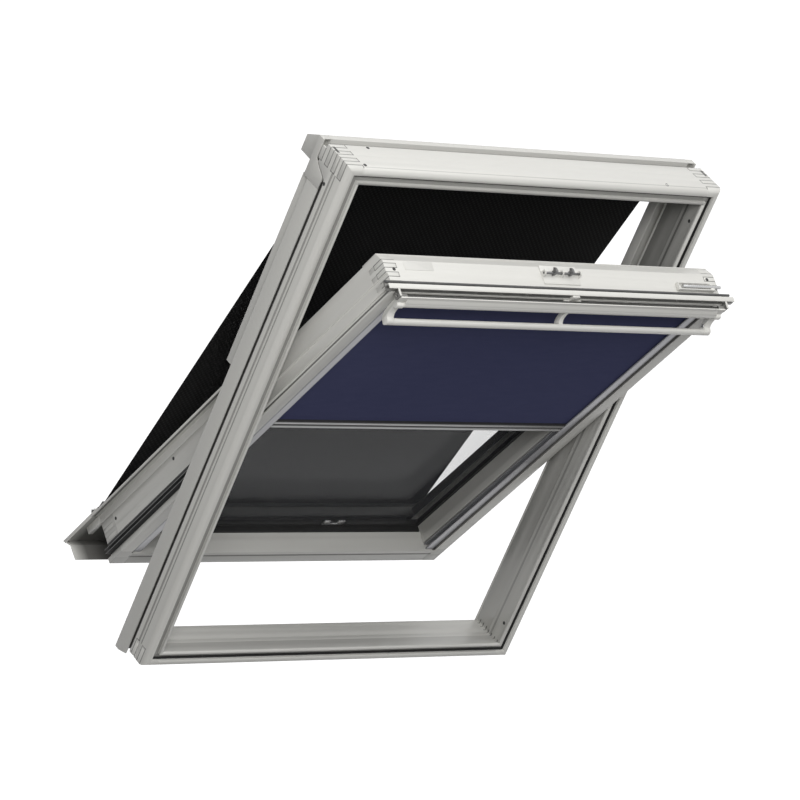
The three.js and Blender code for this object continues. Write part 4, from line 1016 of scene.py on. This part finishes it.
def addPlate():
    p = plateSizes
    corners = []
    middles = (
        (p["right"] - p["corner"], p["back"] - p["corner"]),
        (p["left"] + p["corner"], p["back"] - p["corner"]),
        (p["left"] + p["corner"], p["front"] + p["corner"]),
        (p["right"] - p["corner"], p["front"] + p["corner"]),
    )
    for quarter, (x, y) in enumerate(middles):
        for step in range(p["steps"] + 1):
            turn = math.pi / 2 * (quarter + step / p["steps"])
            place = (x + p["corner"] * math.cos(turn), y + p["corner"] * math.sin(turn), p["foot"])
            corners.append(inWorld(*place))
    finish = painted("barePlate", shade=0.93)
    facing = toSash.to_3x3() @ Vector((0, 0, 1))
    plate = swept("barePlate", corners, facing, p["thickness"], finish, p["edge"])
    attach(plate, nodes["sash_head"]["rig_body"])


addPlate()
print("flap, grip and plate made")

# Screw heads and drilled holes: radius and height of each ring, from the rim inwards.
# The rings of the star have two radii, one for its points and one between them
screwSizes = {
    "sides": 24,
    "points": 6,
    "head": ((0.0030, -0.0003), (0.0030, 0.0006), (0.0026, 0.0012), (0.0018, 0.0015)),
    "star": ((0.0014, 0.0010, 0.0015), (0.0013, 0.0009, 0.0006)),
    # The hole is a shallow disc that carries the painted shade
    "hole": ((0.0031, -0.0002), (0.0031, 0.0002), (0.0026, 0.0003), (0.0020, 0.0001)),
}


def turnedMesh(name, rings):
    sides = screwSizes["sides"]
    period = sides // screwSizes["points"]
    work = bmesh.new()
    previous = None
    for ring in rings:
        outer, inner, height = ring if len(ring) == 3 else (ring[0], ring[0], ring[1])
        row = []
        for step in range(sides):
            turn = 2 * math.pi * step / sides
            radius = outer if step % period < period // 2 else inner
            row.append(work.verts.new((radius * math.cos(turn), radius * math.sin(turn), height)))
        if previous:
            for step in range(sides):
                after = (step + 1) % sides
                work.faces.new((previous[step], previous[after], row[after], row[step]))
        previous = row
    work.faces.new(previous)
    mesh = bpy.data.meshes.new(name)
    work.to_mesh(mesh)
    work.free()
    return mesh


def sashSpot(x, y, z, facing):
    return tuple(inWorld(x, y, z)), tuple(toSash.to_3x3() @ Vector(facing))


left, right, upward = (-1, 0, 0), (1, 0, 0), (0, 0, 1)
spots = {
    "frameHoles": [
        ((-0.3150, 0.0250, 0.9780), upward),
        ((-0.3538, -0.0290, 0.9779), (0, -0.12, 0.99)),
        ((0.2715, -0.0315, 0.9773), (0, -0.24, 0.97)),
        ((-0.3900, 0.0022, 0.9211), left),
        ((0.3900, 0.0022, 0.9211), right),
        ((0.3610, -0.0258, 0.9070), left),
        ((0.3610, -0.0266, 0.0663), left),
        ((-0.3610, -0.0258, 0.9070), right),
        ((-0.3610, -0.0266, 0.0663), right),
    ],
    "sashHoles": [
        sashSpot(-0.345, 0.0660, -0.2019, left),
        sashSpot(-0.345, 0.0610, -0.4000, left),
        sashSpot(0.345, 0.0660, -0.2019, right),
        sashSpot(0.345, 0.0610, -0.4000, right),
        sashSpot(-0.3276, 0.0423, 0.4430, upward),
        sashSpot(0.3276, 0.0480, 0.4430, upward),
    ],
    "flapScrews": [
        sashSpot(0.3240, -0.0161, 0.4010, left),
        sashSpot(-0.3240, -0.0161, 0.4010, right),
    ],
}


# One object on a body, with the piece at each spot, turned to face outwards
def addSpots(name, piece, finish, body, seed):
    mesh = bpy.data.meshes.new(name)
    mesh.from_pydata([place for place, facing in spots[name]], [], [])
    facings = mesh.attributes.new("facing", "FLOAT_VECTOR", "POINT")
    for row, (place, facing) in zip(facings.data, spots[name]):
        row.vector = facing
    made = linked(mesh, name, finish)
    runGroup(made, scatter, {"Piece": piece, "Seed": seed, "Finish": finish})
    made.data.shade_smooth()
    made.data.set_sharp_from_angle(angle=edgeSizes["sharp"])
    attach(made, body)


screw = bpy.data.objects.new("screwHead", turnedMesh("screwHead", screwSizes["head"] + screwSizes["star"]))
hole = bpy.data.objects.new("drilledHole", turnedMesh("drilledHole", screwSizes["hole"]))
addSpots("frameHoles", hole, holeShade, "frame", seed=3)
addSpots("sashHoles", hole, holeShade, nodes["sash_head"]["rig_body"], seed=5)
flapSteel = materials["fitting_steel"]
addSpots("flapScrews", screw, flapSteel, nodes["vent_bar"]["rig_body"], seed=7)
bpy.data.objects.remove(screw)
bpy.data.objects.remove(hole)
print("screws and holes set")


# Cloths: thin flat sheets of small faces, in the place of the CAD sheets
clothSizes = {
    "awning": {"thickness": 0.0006, "rows": 40, "columns": 30},
    "blackout": {"thickness": 0.0005, "rows": 60, "columns": 20},
    "end": 0.002,
}


def clothMesh(name, corners, rows, columns, thickness):
    work = bmesh.new()
    lowLeft, lowRight, topLeft = (Vector(c) for c in corners)
    across, up = lowRight - lowLeft, topLeft - lowLeft
    grid = []
    for row in range(rows + 1):
        line = []
        for column in range(columns + 1):
            line.append(work.verts.new(lowLeft + across * (column / columns) + up * (row / rows)))
        grid.append(line)
    for row in range(rows):
        for column in range(columns):
            work.faces.new(
                (grid[row][column], grid[row][column + 1], grid[row + 1][column + 1], grid[row + 1][column])
            )
    bmesh.ops.recalc_face_normals(work, faces=work.faces)
    bmesh.ops.solidify(work, geom=work.faces[:], thickness=thickness)
    # The rim's faces come in no fixed order, so all faces are put in order of their places
    placed = sorted(work.faces, key=lambda face: tuple(face.calc_center_median()))
    for index, face in enumerate(placed):
        face.index = index
    work.faces.sort()
    mesh = bpy.data.meshes.new(name)
    work.to_mesh(mesh)
    work.free()
    return mesh


# Sides of a CAD sheet, and the middles of its lower and upper ends
def clothBox(node):
    corners = [v.co.copy() for v in nodes[node].data.vertices]
    low = min(corners, key=lambda v: v.z)
    high = max(corners, key=lambda v: v.z)
    left = min(v.x for v in corners)
    right = max(v.x for v in corners)
    lows = [v for v in corners if abs(v.z - low.z) < clothSizes["end"]]
    highs = [v for v in corners if abs(v.z - high.z) < clothSizes["end"]]
    lowMiddle = sum((Vector((0, v.y, v.z)) for v in lows), Vector()) / len(lows)
    highMiddle = sum((Vector((0, v.y, v.z)) for v in highs), Vector()) / len(highs)
    return left, right, lowMiddle, highMiddle


def addCloth(node, name, material, thickness, rows, columns):
    left, right, low, high = clothBox(node)
    offset = Vector((1, 0, 0)).cross(high - low).normalized() * thickness / 2
    corners = (
        (left, low.y + offset.y, low.z + offset.z),
        (right, low.y + offset.y, low.z + offset.z),
        (left, high.y + offset.y, high.z + offset.z),
    )
    mesh = clothMesh(name, corners, rows, columns, thickness)
    return linked(mesh, name, material), (right - left, (high - low).length), low, high


awningSheet, awningFlat = addCloth(
    "awning_fabric", "awningCloth", materials["awning_cloth"], **clothSizes["awning"]
)[:2]
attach(awningSheet, "awning_bar")
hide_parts("awning_fabric")

blackoutSheet, blackoutFlat, blackoutLow, blackoutHigh = addCloth(
    "blackout_fabric", "blackoutCloth", materials["blackout_cloth"], **clothSizes["blackout"]
)
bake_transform(blackoutSheet)
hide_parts("blackout_fabric")
print("cloths made")


# Light, world and floor
lightSizes = {
    "worldFill": 0.40,
    "skyStrength": 122,
    "skySize": 5.0,
    "skyPlace": (0.0, 0.0, 5.5),
    "frontStrength": 156,
    "frontSize": 2.5,
    "frontPlace": (-3.0, -3.6, 4.2),
    "aim": (0.0, 0.0, 0.5),
    "floorHeight": -1.6,
    "floorHalf": 30,
    "floorBounce": 0.05,
    "floorGlow": 0.95,
    "floorShade": 0.35,
}


def areaLamp(name, place, target, strength, size):
    data = bpy.data.lights.new(name, "AREA")
    data.energy = strength
    data.size = size
    lamp = bpy.data.objects.new(name, data)
    bpy.context.scene.collection.objects.link(lamp)
    lamp.location = place
    lamp.rotation_euler = (Vector(target) - Vector(place)).to_track_quat("-Z", "Y").to_euler()
    lamp.visible_camera = False


# Rays that meet a white background
def backdropRays(s):
    seen = s.node("ShaderNodeLightPath", {}, {}, "Is Camera Ray")
    mirrored = s.node("ShaderNodeLightPath", {}, {}, "Is Glossy Ray")
    through = s.node("ShaderNodeLightPath", {}, {}, "Is Transmission Ray")
    return seen.most(mirrored).most(through)


def makeWorld():
    world = bpy.data.worlds.new("studio")
    bpy.context.scene.world = world
    world.use_nodes = True
    sky = Nodes(world.node_tree)
    fill = sky.node("ShaderNodeBackground", {}, {"Strength": lightSizes["worldFill"], "Color": grey(1)})
    white = sky.node("ShaderNodeBackground", {}, {"Strength": 1.0, "Color": grey(1)})
    sky.closing("ShaderNodeOutputWorld", backdropRays(sky), fill, white)


def makeFloor():
    f = lightSizes
    half, height = f["floorHalf"], f["floorHeight"]
    s = newShader("paleFloor")
    dim = s.node("ShaderNodeBsdfDiffuse", {}, {"Color": grey(f["floorBounce"])})
    pale = s.node("ShaderNodeBsdfDiffuse", {}, {"Color": grey(f["floorShade"])})
    glow = s.node("ShaderNodeEmission", {}, {"Color": grey(f["floorGlow"]), "Strength": 1.0})
    lit = s.node("ShaderNodeAddShader", {}, {0: pale, 1: glow})
    s.closing("ShaderNodeOutputMaterial", backdropRays(s), dim, lit)
    corners = [(-half, -half, height), (half, -half, height), (half, half, height), (-half, half, height)]
    linked(outlineMesh("floor", corners), "floor", s.owner)


def makeStage():
    f = lightSizes
    areaLamp("skyLamp", f["skyPlace"], f["aim"], f["skyStrength"], f["skySize"])
    areaLamp("frontLamp", f["frontPlace"], f["aim"], f["frontStrength"], f["frontSize"])
    makeWorld()
    makeFloor()


makeStage()
bpy.context.scene.view_settings.view_transform = "Standard"
print("stage set")
